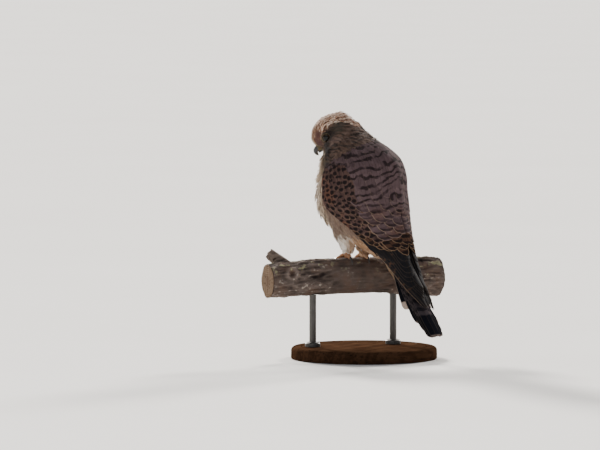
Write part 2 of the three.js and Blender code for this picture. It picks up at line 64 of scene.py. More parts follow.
def deselect():
    """Nothing selected, so that the next operator acts on its own piece alone."""
    bpy.ops.object.select_all(action="DESELECT")


def only(piece):
    """This piece alone selected, and active."""
    deselect()
    piece.select_set(True)
    bpy.context.view_layer.objects.active = piece
    return piece


def select_middles(piece, mode, test):
    """In edit mode, selects only the edges or faces whose middle passes the test."""
    bpy.context.tool_settings.mesh_select_mode = (False, mode == "EDGE", mode == "FACE")
    made = bmesh.from_edit_mesh(piece.data)
    for part in itertools.chain(made.verts, made.edges, made.faces):
        part.select = False
    for part in made.edges if mode == "EDGE" else made.faces:
        if test(sum((v.co for v in part.verts), Vector()) / len(part.verts)):
            part.select_set(True)
    bmesh.update_edit_mesh(piece.data)


class Wire:
    """A shader node's output. Arithmetic on it adds Math nodes, and node() adds any other."""

    def __init__(self, socket):
        self.socket = socket
        self.tree = socket.id_data

    def node(self, kind, settings, values, output=0):
        made = self.tree.nodes.new("ShaderNode" + kind)
        for name, value in settings.items():
            setattr(made, name, value)
        for name, value in values.items():
            if isinstance(value, Wire):
                self.tree.links.new(value.socket, made.inputs[name])
            else:
                made.inputs[name].default_value = value
        return Wire(made.outputs[output])

    def maths(self, operation, *values):
        return self.node("Math", {"operation": operation}, dict(enumerate(values)))

    def __add__(self, other):
        return self.maths("ADD", self, other)

    def __sub__(self, other):
        return self.maths("SUBTRACT", self, other)

    def __rsub__(self, other):
        return self.maths("SUBTRACT", other, self)

    def __mul__(self, other):
        return self.maths("MULTIPLY", self, other)

    def __truediv__(self, other):
        return self.maths("DIVIDE", self, other)

    def __pow__(self, other):
        return self.maths("POWER", self, other)

    def __abs__(self):
        return self.maths("ABSOLUTE", self)

    __radd__, __rmul__ = __add__, __mul__

    def sine(self):
        return self.maths("SINE", self)

    def lower(self, other):
        return self.maths("MINIMUM", self, other)

    def higher(self, other):
        return self.maths("MAXIMUM", self, other)

    def rise(self, low, high):
        """0 below low and 1 above high, or the other way round, with a soft step between."""
        settings = {"interpolation_type": "SMOOTHSTEP"}
        return self.node("MapRange", settings, {"Value": self, "From Min": low, "From Max": high})

    def between(self, low, high):
        """A colour, from low where this mask is 0 to high where it is 1."""
        low, high = (c if isinstance(c, Wire) else (*c, 1) for c in (low, high))
        return self.node("Mix", {"data_type": "RGBA"}, {0: self, 6: low, 7: high}, 2)

    def grain(self, scale, detail=3.0, stretch=(1, 1, 1), at=(0, 0, 0)):
        """Noise on these coordinates, about 0 to 1. stretch above 1 makes it finer that way."""
        laid = self.node("Mapping", {}, {"Vector": self, "Location": at, "Scale": stretch})
        return laid.node("TexNoise", {}, {"Vector": laid, "Scale": scale, "Detail": detail})

    def axis(self, name):
        return self.node("SeparateXYZ", {}, {0: self}, name)

    def read(self, name, output="Fac"):
        """The piece's own attribute of that name."""
        return self.node("Attribute", {"attribute_name": name}, {}, output)

    def into(self, name):
        shader = self.tree.nodes["Principled BSDF"]
        self.tree.links.new(self.socket, shader.inputs[name])

    def raised(self, strength, distance):
        """This height as the surface's bump."""
        values = {"Height": self, "Strength": strength, "Distance": distance}
        self.node("Bump", {}, values).into("Normal")


def painted(colour, *coats):
    """A colour with others laid over it in turn, each given as its mask and its tone."""
    for mask, tone in coats:
        colour = mask.between(colour, tone)
    return colour


def finish(name, **constants):
    """A new material with the shader's even values set, and its Object coordinates."""
    material = bpy.data.materials.new(name)
    material.use_nodes = True
    nodes = material.node_tree.nodes
    for socket, value in constants.items():
        nodes["Principled BSDF"].inputs[socket.replace("_", " ")].default_value = value
    return material, Wire(nodes.new("ShaderNodeTexCoord").outputs["Object"])


def settle(piece, material, slot, *nodes):
    """The piece gets its material, rides on the body and stands for these nodes. Its slot is not
    used.
    """
    piece.data.materials.clear()
    piece.data.materials.append(material)
    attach(piece, "root")
    if nodes:
        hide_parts(*nodes)


deselect()
bpy.ops.mesh.primitive_cylinder_add(
    vertices=128, radius=BASE_RADIUS, depth=BASE_THICK, location=(0, 0, BASE_THICK / 2)
)
base = bpy.context.object
base.name = "display_base"
bpy.ops.object.transform_apply(location=True)
bpy.ops.object.mode_set(mode="EDIT")
select_middles(base, "FACE", lambda m: m.z > BASE_THICK - CLOSE)
bpy.ops.mesh.inset(thickness=LINE_INSET)
bpy.ops.mesh.inset(thickness=LINE_WIDTH)
line_at = BASE_RADIUS - LINE_INSET - LINE_WIDTH / 2
on_line = lambda m: m.z > BASE_THICK - CLOSE and abs(m.xy.length - line_at) < LINE_WIDTH / 2
select_middles(base, "FACE", on_line)
bpy.ops.mesh.inset(thickness=LINE_WIDTH / 4)
bpy.ops.transform.translate(value=(0, 0, -LINE_DEPTH))
rim_from = BASE_RADIUS - 0.0005
select_middles(base, "EDGE", lambda m: m.z > BASE_THICK - CLOSE and m.xy.length > rim_from)
bpy.ops.mesh.bevel(offset=SHOULDER, segments=6, affect="EDGES")
select_middles(base, "EDGE", lambda m: m.z < CLOSE and m.xy.length > rim_from)
bpy.ops.mesh.bevel(offset=EASE, segments=3, affect="EDGES")
bpy.ops.object.mode_set(mode="OBJECT")
bpy.ops.object.shade_smooth_by_angle(angle=math.radians(32))

stained, place = finish("stained_hardwood", Specular_IOR_Level=0.0)
bands = place.grain(26, 4, (1, 9, 6))
pores = place.grain(420, 2, (0.12, 1, 1))
rings = (bands * 16 + place.axis("Y") * 260).sine() * 0.5 + 0.5
worn = place.axis("Z").rise(BASE_THICK - 0.004, BASE_THICK) * place.grain(60).rise(0.35, 0.75)
painted(
    (rings * 0.55 + bands * 0.5).between((0.020, 0.010, 0.006), (0.062, 0.031, 0.017)),
    (pores.rise(0.62, 0.7), (0.012, 0.007, 0.005)),
    (worn * 0.25, (0.10, 0.055, 0.030)),
).into("Base Color")
(0.55 + bands * 0.16 + pores.rise(0.6, 0.7) * 0.2).into("Roughness")
(rings * 0.3 - pores.rise(0.58, 0.7)).raised(0.25, 0.0003)
settle(base, stained, "stand_wood", "stand_base")

# ------------------------------------------------------------------ The two rods
# Blackened steel rods carry the branch. Each stands in a small turned collar on the base and
# runs up into a hole in the branch.
ROD_RADIUS = 0.004
COLLAR_RADIUS = 0.0088
COLLAR_RISE = 0.0042
NECK, NECK_RISE = 0.0012, 0.0014  # the slope from the collar up to the rod

blackened, place = finish("blackened_steel", Metallic=1.0, Specular_IOR_Level=0.5)
drawn = place.grain(900, 2, (1, 1, 0.03))
smudge = place.grain(90, 4)
steel = (smudge * 0.7 + drawn * 0.3).between((0.05, 0.048, 0.046), (0.16, 0.152, 0.145))
steel.into("Base Color")
(0.28 + smudge * 0.25 + drawn * 0.12).into("Roughness")
drawn.raised(0.12, 0.0002)
for side in ("left", "right"):
    node = "stand_rod_" + side
    low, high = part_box(node)
    middle = (low + high) / 2
    deselect()
    bpy.ops.mesh.primitive_cylinder_add(
        vertices=40, radius=COLLAR_RADIUS, depth=COLLAR_RISE, location=(middle.x, middle.y, 0)
    )
    rod = bpy.context.object
    rod.name = node.replace("stand", "steel")
    bpy.ops.transform.translate(value=(0, 0, low.z + COLLAR_RISE / 2))
    bpy.ops.object.transform_apply(location=True)
    bpy.ops.object.mode_set(mode="EDIT")
    top = low.z + COLLAR_RISE - CLOSE
    select_middles(rod, "FACE", lambda m: m.z > top)
    bpy.ops.mesh.inset(thickness=COLLAR_RADIUS - ROD_RADIUS - NECK)
    bpy.ops.transform.translate(value=(0, 0, NECK_RISE))
    bpy.ops.mesh.inset(thickness=NECK)
    bpy.ops.mesh.extrude_region_move(
        TRANSFORM_OT_translate={"value": (0, 0, high.z - low.z - COLLAR_RISE - NECK_RISE)}
    )
    lip = lambda m: abs(m.z - top) < 1e-4 and (m - middle).xy.length > COLLAR_RADIUS - 0.0003
    select_middles(rod, "EDGE", lip)
    bpy.ops.mesh.bevel(offset=0.0009, segments=3, affect="EDGES")
    bpy.ops.object.mode_set(mode="OBJECT")
    bpy.ops.object.shade_smooth_by_angle(angle=math.radians(40))
    settle(rod, blackened, "rod_steel", node)

# ------------------------------------------------------------------ The branch
# A cut length of old branch in rough, fissured bark, with four knots, lichen on its upper side
# and the broken stub of a side branch that has lost its bark. Both ends are sawn.
FEET = Vector((0, -0.016, 0.116))
BRANCH_RADIUS = 0.021
BRANCH_LENGTH = 0.212
BRANCH_WAY = Vector((-math.cos(math.radians(30)), math.sin(math.radians(30)), 0))
BRANCH_FRONT = Vector((-BRANCH_WAY.y, BRANCH_WAY.x, 0))
BRANCH_BOW = 0.35
STUB_PLACE = -0.066
STUB_WAY = (-0.62 * BRANCH_WAY + 0.55 * BRANCH_FRONT + Vector((0, 0, 0.56))).normalized()
KNOTS = ((-0.046, 1.25, 0.010), (0.071, 0.35, 0.008), (0.052, 2.4, 0.009), (-0.082, -1.2, 0.008))


def new_piece(name, mesh):
    piece = bpy.data.objects.new(name, mesh)
    bpy.context.collection.objects.link(piece)
    return piece


def copy_of(name, *nodes):
    """One new piece from copies of CAD nodes, with their doubled points merged."""
    deselect()
    for node in nodes:
        piece = new_piece(name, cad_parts[node].data.copy())
        piece.select_set(True)
    bpy.context.view_layer.objects.active = piece
    if len(nodes) > 1:
        bpy.ops.object.join()
    piece.name = name
    bpy.ops.object.mode_set(mode="EDIT")
    bpy.ops.mesh.select_all(action="SELECT")
    bpy.ops.mesh.remove_doubles(threshold=1e-5)
    bpy.ops.object.mode_set(mode="OBJECT")
    return bpy.context.object


def shaped(piece, kind, **settings):
    """Adds a modifier to the piece and applies it."""
    made = piece.modifiers.new(kind.lower(), kind)
    for name, value in settings.items():
        setattr(made, name, value)
    bpy.context.view_layer.objects.active = piece
    bpy.ops.object.modifier_apply(modifier=made.name)


def read_points(piece, field="co"):
    values = np.empty(len(piece.data.vertices) * 3)
    piece.data.vertices.foreach_get(field, values)
    return values.reshape(-1, 3)


def set_points(piece, points):
    piece.data.vertices.foreach_set("co", points.ravel())
    piece.data.update()


def keep(piece, name, values):
    """Stores one number or vector a point as an attribute that materials read."""
    vector = np.ndim(values) == 2
    made = piece.data.attributes.new(name, "FLOAT_VECTOR" if vector else "FLOAT", "POINT")
    made.data.foreach_set("vector" if vector else "value", np.ravel(values).astype(np.float32))


def soft(x, low, high):
    """A soft step from 0 at low to 1 at high."""
    t = np.clip((x - low) / (high - low), 0, 1)
    return t * t * (3 - 2 * t)


def sampled(kind, *columns):
    """A noise function's value at each point, from the columns of their coordinates."""
    return np.array([kind(Vector(row)) for row in np.stack(np.broadcast_arrays(*columns), 1)])


def ridges(point):
    return noise.ridged_multi_fractal(point, 0.9, 2.1, 3, 0.95, 2)


branch = copy_of("branch", "perch_branch")
shaped(branch, "REMESH", mode="VOXEL", voxel_size=0.00085)
shaped(branch, "SMOOTH", factor=0.5, iterations=3)
points = read_points(branch)
outward = read_points(branch, "normal")
from_middle = points - np.array(FEET - Vector((0, 0, BRANCH_RADIUS)))
along = from_middle @ np.array(BRANCH_WAY)
front = from_middle @ np.array(BRANCH_FRONT)
upward = from_middle[:, 2] + BRANCH_BOW * along**2
around = np.arctan2(front, upward)
out = np.hypot(front, upward)
stub_run = (from_middle - STUB_PLACE * np.array(BRANCH_WAY)) @ np.array(STUB_WAY)
stub = soft(out, 0.0235, 0.0265) * (along < -0.02)
sawn = soft(np.abs(along), BRANCH_LENGTH / 2 - 0.0012, BRANCH_LENGTH / 2 - 0.0004)
held = soft(np.abs(along), 0.022, 0.045)
fissures = sampled(ridges, along * 55, front * 210, upward * 210)
lumps = sampled(noise.noise, along * 45, front * 75, upward * 75)
flakes = sampled(noise.cell, along * 150 + lumps, around * 5, lumps)
rise = (fissures - 0.9) * 0.0013 + lumps * 0.0012 + (flakes - 0.5) * 0.0004
rise = rise * (0.35 + 0.65 * held) - 0.0003 * (1 - held)
for place_along, place_round, size in KNOTS:
    away = np.hypot(along - place_along, BRANCH_RADIUS * (around - place_round)) / size
    rise += 0.0022 * np.exp(-((away - 0.75) ** 2) * 9) - 0.0016 * np.exp(-((away * 2.2) ** 2))
splits = sampled(noise.noise, *((from_middle - np.outer(stub_run, STUB_WAY)) * 300).T)
rise = rise * (1 - stub) + stub * (splits * 0.0007 - 0.0002)
rise = rise * (1 - sawn) + sawn * 0.00012 * np.sin(front * 900 + 3 * lumps)
star = around * 3.5 + 9 * sampled(noise.noise, front * 60, upward * 60, 7)
cracks = np.abs(np.sin(star))
off_heart = soft(out, 0.002, 0.009)
rise -= sawn * 0.0008 * (1 - soft(cracks, 0.0, 0.10)) * off_heart
broken = stub * soft(stub_run, 0.040, 0.045)
moved = points + outward * rise[:, None] + np.outer(broken * splits * 0.004, STUB_WAY)
set_points(branch, moved)
# bark is the bark's height; its colour darkens where this is low, partly the fissures' own darker
# bark and partly painted shade in them
keep(branch, "bark", np.clip(0.5 + rise * 300, 0, 1))
keep(branch, "bare", stub)
keep(branch, "sawn", sawn * (1 - stub))
keep(branch, "crack", (1 - soft(cracks, 0.02, 0.16)) * off_heart)
keep(branch, "grown", np.stack([along, front, upward], 1))
only(branch)
bpy.ops.object.shade_smooth()

weathered, place = finish("weathered_bark", Specular_IOR_Level=0.08)
grown = place.read("grown", "Vector")
bark, bare, cut = (place.read(name) for name in ("bark", "bare", "sawn"))
mottle, fine = place.grain(70, 5), place.grain(700, 3)
chips = place.grain(240, 2, at=(1, 6, 2)).rise(0.60, 0.66) * bark.rise(0.40, 0.60)
crust = place.grain(120, 4, at=(3, 1, 2)).rise(0.56, 0.64) * bark.rise(0.35, 0.65)
top = grown.axis("Z").rise(-0.004, 0.016)
spots = place.grain(300, 3, at=(7, 5, 1)).rise(0.64, 0.68) * top * bark.rise(0.4, 0.7)
lines = grown.grain(260, 3, (0.06, 1, 1))
grey = painted(
    lines.between((0.060, 0.043, 0.034), (0.235, 0.185, 0.150)),
    (lines.rise(0.44, 0.34), (0.035, 0.022, 0.016)),
)
# Darker the lower the bark lies: partly the fissures' and knots' own darker bark, partly painted
# shade in those hollows.
colour = painted(
    (bark * 0.85 + mottle * 0.6 - 0.22).between((0.012, 0.008, 0.008), (0.230, 0.180, 0.155)),
    (mottle.rise(0.42, 0.7) * 0.5, (0.100, 0.056, 0.038)),
    (chips * 0.6, (0.42, 0.36, 0.31)),
    (crust * top * 0.85, (0.36, 0.34, 0.20)),
    (spots * 0.7, (0.25, 0.20, 0.07)),
    (bare, grey),
)
radius = (grown.axis("Y") ** 2 + grown.axis("Z") ** 2) ** 0.5
years = ((radius + place.grain(60, 2) * 0.004) * 2900).sine() * 0.5 + 0.5
heart = painted(
    (years * 0.7 + fine * 0.4 - 0.05).between((0.080, 0.047, 0.028), (0.25, 0.170, 0.108)),
    (radius.rise(0.009, 0.004) * 0.5, (0.085, 0.045, 0.026)),
    # The cracks in the sawn face are near-black: painted shade in them.
    (place.read("crack") * 0.9, (0.020, 0.012, 0.008)),
    (radius.rise(0.0182, 0.0196), (0.035, 0.022, 0.017)),
)
cut.between(colour, heart).into("Base Color")
(0.94 - bare * 0.18 + crust * 0.04).into("Roughness")
(fine * 0.5 + mottle * 0.5 + crust * 0.5 + spots * 0.6 - cut * years * 0.4).raised(0.6, 0.0007)
settle(branch, weathered, "bark", "perch_branch")

# ------------------------------------------------------------------ The skin
# One closed skin runs under all the feathers of head, neck, body and thighs. It lies inside the
# bird's outline by the depth of its coat, and shows only where that coat parts.
HEAD_AT = FEET + Vector((0.0068, -0.0275, 0.1436))
HEAD_TURN = Matrix.Rotation(math.radians(44), 3, "Z") @ Matrix.Rotation(math.radians(44), 3, "X")
EYE_PLACE = Vector((0.0142, -0.008, 0.0005))
NODES_OF_FLESH = ("head", "neck", "torso", "thigh_left", "thigh_right")


def in_head(points):
    """Points in the head's own frame, where it looks along -Y."""
    return (np.asarray(points) - np.array(HEAD_AT)) @ np.array(HEAD_TURN)


def out_of_head(points):
    return np.asarray(points) @ np.array(HEAD_TURN).T + np.array(HEAD_AT)


def near(points, middle, *sizes):
    """1 at a middle, falling softly to 0 at that distance along each axis."""
    away = np.linalg.norm((points - np.array(middle)) / np.array(sizes), axis=1)
    return 1 - soft(away, 0.45, 1.0)


def markings(points):
    """The plumage's fields at each point, each from 0 to 1. Skin and coat share them."""
    p = np.asarray(points) - np.array(FEET)
    beside, behind, height = np.abs(p[:, 0]), p[:, 1], p[:, 2]
    h = in_head(points)
    x, y, z = np.abs(h[:, 0]), h[:, 1], h[:, 2]
    mirrored = np.stack([x, y, z], 1)
    middle = np.linalg.norm(h - np.array([0, 0.002, -0.002]), axis=1)
    on_head = 1 - soft(middle, 0.026, 0.033)
    off_head = 1 - on_head
    crown = soft(0.0165 - x, -0.0035, 0.0030) * soft(z + 0.5 * np.clip(y, 0, 1), 0, 0.005)
    crown *= 1 - soft(middle, 0.030, 0.036)
    brow = np.maximum(
        near(mirrored, (0.012, -0.0145, 0.009), 0.0055, 0.006, 0.008),
        near(mirrored, (0.0095, -0.0195, 0.003), 0.0055, 0.006, 0.008),
    )
    malar = np.maximum(
        near(mirrored, (0.0185, -0.0145, -0.006), 0.009, 0.006, 0.008),
        near(mirrored, (0.0205, -0.0180, -0.012), 0.009, 0.006, 0.009),
    )
    # A near-black patch round the eye: partly the dark mark behind the eye, partly painted shade
    # over the eye.
    eye_patch = near(mirrored, (0.0195, -0.0065, 0.001), 0.0095, 0.0115, 0.0095)
    cheek = near(mirrored, (0.023, -0.006, -0.009), 0.012, 0.009, 0.008)
    # rim is a painted highlight: pale at the forehead's front, where light from behind catches its
    # edge.
    rim = near(mirrored, (0, -0.0225, 0.004), 0.006, 0.006, 0.010)
    throat = soft(-z - 0.35 * y, 0.012, 0.018) * soft(-y, 0, 0.006) * soft(0.011 - x, -0.003, 0.002)
    # A pale strip down the neck's front edge, laid square to the camera's view: partly the pale
    # throat, partly a painted rim highlight.
    painted_rim_edge = soft(0.616 * beside - 0.788 * behind, 0.0315, 0.0345)
    painted_rim_edge *= soft(height, 0.088, 0.096) * (1 - soft(height, 0.118, 0.122))
    rise = height - 0.085
    wrap = -0.015 - np.where(rise < 0, 0.30, 0.10) * rise + 2.2 * np.clip(-0.019 - rise, 0, 1)
    low = soft(-height, -0.041, -0.026)
    ahead = soft(-behind + 0.2 * height, -0.010, 0.003)
    vent = soft(0.012 - height, 0, 0.012) * soft(behind, 0.02, 0.05)
    flank = soft(beside, 0.018, 0.030) * soft(behind, -0.020, -0.010)
    flank *= soft(height, 0.031, 0.040) * (1 - soft(height, 0.080, 0.100))
    return {
        "crown": crown,
        "brow": brow * on_head,
        "dark": np.maximum(malar * (1 - painted_rim_edge), eye_patch * on_head),
        "cheek": cheek * on_head * (1 - malar),
        "ear": near(mirrored, (0.022, 0.007, 0.001), 0.011, 0.011, 0.009),
        "cream_and_painted_rim": np.clip((throat + 0.8 * rim) * on_head + vent + painted_rim_edge, 0, 1),
        "front": soft(-behind, 0.010, 0.022) * off_head,
        "thigh": low * (1 - ahead) * off_head,
        "breast": soft(wrap - behind, -0.004, 0.005) * off_head,
        "flank": flank * off_head,
        "belly": np.maximum(ahead * low, soft(-height, -0.024, -0.012)) * off_head,
    }


skin = copy_of("skin", *NODES_OF_FLESH)
shaped(skin, "DISPLACE", strength=0.00035, mid_level=0)
shaped(skin, "REMESH", mode="VOXEL", voxel_size=0.00095)
shaped(skin, "SMOOTH", factor=0.6, iterations=10)
points = read_points(skin)
on_face = 1 - soft(np.linalg.norm(in_head(points), axis=1), 0.024, 0.034)
depth = 0.0010 * on_face + 0.0020 * (1 - on_face) + 0.00035
points -= read_points(skin, "normal") * depth[:, None]
set_points(skin, points)
for name, values in markings(points).items():
    keep(skin, name, values)
keep(skin, "headward", in_head(points) * 1000)
only(skin)
bpy.ops.object.shade_smooth()
skin_tree = BVHTree.FromPolygons(
    [tuple(p) for p in points], [tuple(f.vertices) for f in skin.data.polygons]
)


def plumage_colour(place, streak, pale_edge):
    """The small feathers' colour from their fields, a dark streak mask and a pale edge mask."""
    mottle = place.grain(150, 4)
    broad = place.grain(45, 3, at=(2, 0, 5))
    lines = (place.axis("Z") * 1500 + place.grain(60, 3) * 20).sine().rise(-0.1, 0.6)
    lines = lines * place.grain(130, 2, at=(4, 4, 1)).rise(0.30, 0.50)

    headward = place.read("headward", "Vector")
    lanes = (headward.axis("X") * 3.3 + headward.grain(1, 2, (0.3, 0.2, 0.2)) * 14).sine()
    hair = headward.grain(1, 2, (0.85, 0.17, 0.17)) * 0.62
    hair = hair + (lanes * 0.5 + 0.5) * 0.19 + 0.095
    face = (mottle * 0.6 + hair * 0.4).between((0.10, 0.040, 0.018), (0.30, 0.15, 0.075))
    # The crown's streaked rufous, painted paler with pale streaks: partly its own colour, partly a
    # painted highlight of the light from behind on top of the head.
    crown = painted(
        mottle.between((0.34, 0.160, 0.090), (0.68, 0.42, 0.28)),
        (hair.rise(0.53, 0.60) * 0.9, (0.92, 0.75, 0.62)),
        (hair.rise(0.49, 0.42) * 0.95, (0.070, 0.030, 0.021)),
        (headward.axis("Y").rise(-4, -13) * 0.7, face),
    )

    runs = place.grain(1, 2, (620, 620, 120)).rise(0.50, 0.62)
    marks = place.grain(150, 1, at=(6, 1, 8)).rise(0.30, 0.42)
    marks = (streak * 1.5).higher(runs * 0.6) * marks
    breast = painted(
        (mottle * 0.5 + broad * 0.5).between((0.42, 0.27, 0.165), (0.66, 0.49, 0.34)),
        (place.read("front") * 0.8, (0.66, 0.53, 0.39)),
        (marks * 0.9, (0.075, 0.040, 0.028)),
        (pale_edge * 0.35, (0.8, 0.69, 0.56)),
    )
    cheek = mottle.between((0.14, 0.090, 0.078), (0.25, 0.172, 0.150))
    pale = (mottle * 0.6 + broad * 0.4).between((0.80, 0.70, 0.59), (0.95, 0.91, 0.86))
    rust = mottle.between((0.31, 0.155, 0.070), (0.54, 0.31, 0.165))
    side = place.grain(1, 3, (700, 700, 90), at=(3, 3, 3))
    side = side.between((0.055, 0.034, 0.027), (0.30, 0.205, 0.155))
    return painted(
        mottle.between((0.070, 0.042, 0.032), (0.200, 0.122, 0.090)),
        (lines.higher(streak * 0.15) * 0.88, (0.012, 0.008, 0.008)),
        (pale_edge * 0.25, (0.24, 0.155, 0.105)),
        ((place.read("crown") + hair * 1.2 - 0.6).rise(0.2, 0.7), crown),
        (place.read("brow") * 0.8, (0.085, 0.038, 0.040)),
        (place.read("cheek") * 0.7, cheek),
        (place.read("ear") * 0.65, (0.040, 0.038, 0.030)),
        (place.read("breast"), breast),
        (place.read("belly"), pale),
        (place.read("thigh") * 0.85, rust),
        (place.read("flank") * 0.9, side),
        # The real cream of throat and vent, with the painted rim highlight of forehead and neck
        # edge.
        (place.read("cream_and_painted_rim") * 0.9, (0.67, 0.56, 0.44)),
        (place.read("dark") * 0.9, (0.016, 0.012, 0.011)),
    )


under_coat, place = finish("under_coat", Roughness=0.95, Specular_IOR_Level=0.1, Sheen_Weight=0.1)
lie = place.grain(600, 2, (1, 1, 0.25))
plumage_colour(place, lie.rise(0.5, 0.62) * 0.5, lie * 0.4).into("Base Color")
(lie + place.grain(260, 3)).raised(0.5, 0.0006)
settle(skin, under_coat, "plumage", *NODES_OF_FLESH)

# ------------------------------------------------------------------ The wings
# Both wings are folded over the back and meet along its middle. Each is a thin pad of flesh with
# its quills rooted in it: primaries and secondaries, their coverts in rows, tertials and
# scapulars, every vane with its own shaft and lapped like tiles from the tip to the shoulder.
SIDES = (("left", 1), ("right", -1))
SEAM_TURN = 18  # how far the seam turns off the middle towards the wing tips, in degrees
WING_AXIS = np.array(
    [
        # y, z, half depth, half width and tilt, in mm and degrees from the feet
        (-2, 121.5, 31.5, 28.5, 26),
        (4.5, 111.5, 39.5, 37.5, 22),
        (9.5, 100, 47.5, 43, 17),
        (11.5, 84, 51, 45, 13),
        (11, 68, 51.5, 45.5, 12),
        (19, 52, 45, 43, 16),
        (34, 31, 32.5, 36, 23),
        (48.8, 11, 22, 29, 28),
        (63.2, -8, 16.5, 22.5, 32),
        (80, -31, 11.5, 17.5, 34),
        (96, -50, 9, 15, 34),
        (108.5, -68, 6.5, 11.5, 34),
    ],
    float,
)
WING_LOW = (126, 118, 107, 92, 87, 86, 83, 72)


def mix(a, b, share):
    return a + (b - a) * share


def smooth_line(rows, count=600):
    """A smooth curve through the rows, evenly spaced along its first two columns."""
    gaps = np.sqrt(np.linalg.norm(np.diff(rows[:, :2], axis=0), axis=1))
    knots = np.concatenate([[0], np.cumsum(gaps)])
    slopes = np.gradient(rows, knots, axis=0)
    fine = np.linspace(0, knots[-1], count * 4)
    k = np.clip(np.searchsorted(knots, fine, side="right") - 1, 0, len(gaps) - 1)
    span = gaps[k][:, None]
    t = (fine - knots[k])[:, None] / span
    made = (
        (2 * t**3 - 3 * t**2 + 1) * rows[k]
        + (t**3 - 2 * t**2 + t) * span * slopes[k]
        + (3 * t**2 - 2 * t**3) * rows[k + 1]
        + (t**3 - t**2) * span * slopes[k + 1]
    )
    run = np.concatenate([[0], np.cumsum(np.linalg.norm(np.diff(made[:, :2], axis=0), axis=1))])
    even = np.linspace(0, run[-1], count)
    return even, np.stack([np.interp(even, run, column) for column in made.T], 1)


axis_reach, axis_rows = smooth_line(WING_AXIS)


def wing_edges(side, reach):
    """The seam's and the lower edge's angles from the back, in degrees."""
    share = np.clip(reach / axis_reach[-1], 0, 1)
    low = np.interp(share, np.linspace(0, 1, len(WING_LOW)), WING_LOW)
    return -side * SEAM_TURN * soft(share, 0.4, 0.75), low


def wing_point(side, reach, across, lift):
    """Reach in mm from the neck, share across from the seam to the lower edge, lift in mm."""
    seam, low = wing_edges(side, reach)
    angle = np.radians(mix(seam, low, across))
    y, z, deep, wide, tilt = (np.interp(reach, axis_reach, column) for column in axis_rows.T)
    back = (deep + 0.3 + lift) * np.cos(angle)
    tilt = np.radians(tilt)
    beside = side * (wide + 0.3 + lift) * np.sin(angle)
    return np.stack([beside, y + back * np.cos(tilt), z + back * np.sin(tilt)], -1)


def wing_span(side, reach):
    seam, low = wing_edges(side, reach)
    half = np.interp(reach, axis_reach, axis_rows[:, 2:4].mean(1))
    return np.radians(low - seam) * (half + 3)


# A vane's outline: shares of its length, and its share of the full width at each
ROUNDED = ((0, 0.1, 0.3, 0.55, 0.75, 0.88, 0.95, 1), (0.4, 0.66, 0.92, 1, 0.94, 0.76, 0.52, 0.05))
POINTED = ((0, 0.2, 0.5, 0.7, 0.84, 0.93, 0.975, 1), (0.5, 0.85, 1, 0.94, 0.74, 0.5, 0.3, 0.04))
BLUNT = ((0, 0.15, 0.4, 0.7, 0.88, 0.95, 0.985, 1), (0.5, 0.8, 0.95, 1, 0.96, 0.8, 0.55, 0.1))


def vane_grid(rows, columns, outline, ragged, draw):
    """The share along, the share of the half width from -1 to 1, and each edge's own width."""
    along = 1 - (1 - np.linspace(0, 1, rows + 1)) ** 1.6
    across = np.linspace(-1, 1, columns + 1)
    width = np.interp(along, *outline)
    nicks = draw.normal(0, ragged, (rows + 1, 2)) * soft(along, 0.3, 0.8)[:, None]
    edge = width[:, None] * (1 + nicks)
    return along[:, None], across[None, :], edge


def wing_vane(side, root, tip, width, turn, outline, rows, columns, draw, least=0.012):
    """One vane's upper and lower points in mm, with its barb coordinates. It stops at the least
    share across, just short of the seam."""
    along, across, edge = vane_grid(rows, columns, outline, 0.02, draw)
    span = wing_span(side, (root[0] + tip[0]) / 2)
    way = np.array([tip[0] - root[0], (tip[1] - root[1]) * span])
    length = np.linalg.norm(way)
    way /= length
    half = np.where(across < 0, edge[:, :1], edge[:, 1:]) * width / 2
    off = across * half
    reach = mix(root[0], tip[0], along) - off * way[1]
    middle = mix(root[1], tip[1], along)
    grain = way[0] / wing_span(side, reach)
    share = np.clip(middle + off * grain, least, 0.99)
    off = (share - middle) / grain
    rise = mix(root[2], tip[2], along**0.6) + off * math.tan(math.radians(turn))
    camber = 0.35 * (1 - across**2) * soft(along, 0, 0.2)
    shaft = 0.16 * np.exp(-((across / 0.09) ** 2)) * (1 - 0.7 * along)
    thick = 0.13 * (1 - 0.55 * np.abs(across)) * (1 - 0.4 * along)
    upper = wing_point(side, reach, share, rise + camber + shaft + thick)
    lower = wing_point(side, reach, share, rise + camber - thick)
    rim = np.minimum(half - np.abs(off), (1 - along) * length * 1.2)
    barbs = np.stack(np.broadcast_arrays(off, (1 - along) * length, np.clip(rim, 0, 99)), -1)
    return upper, lower, barbs


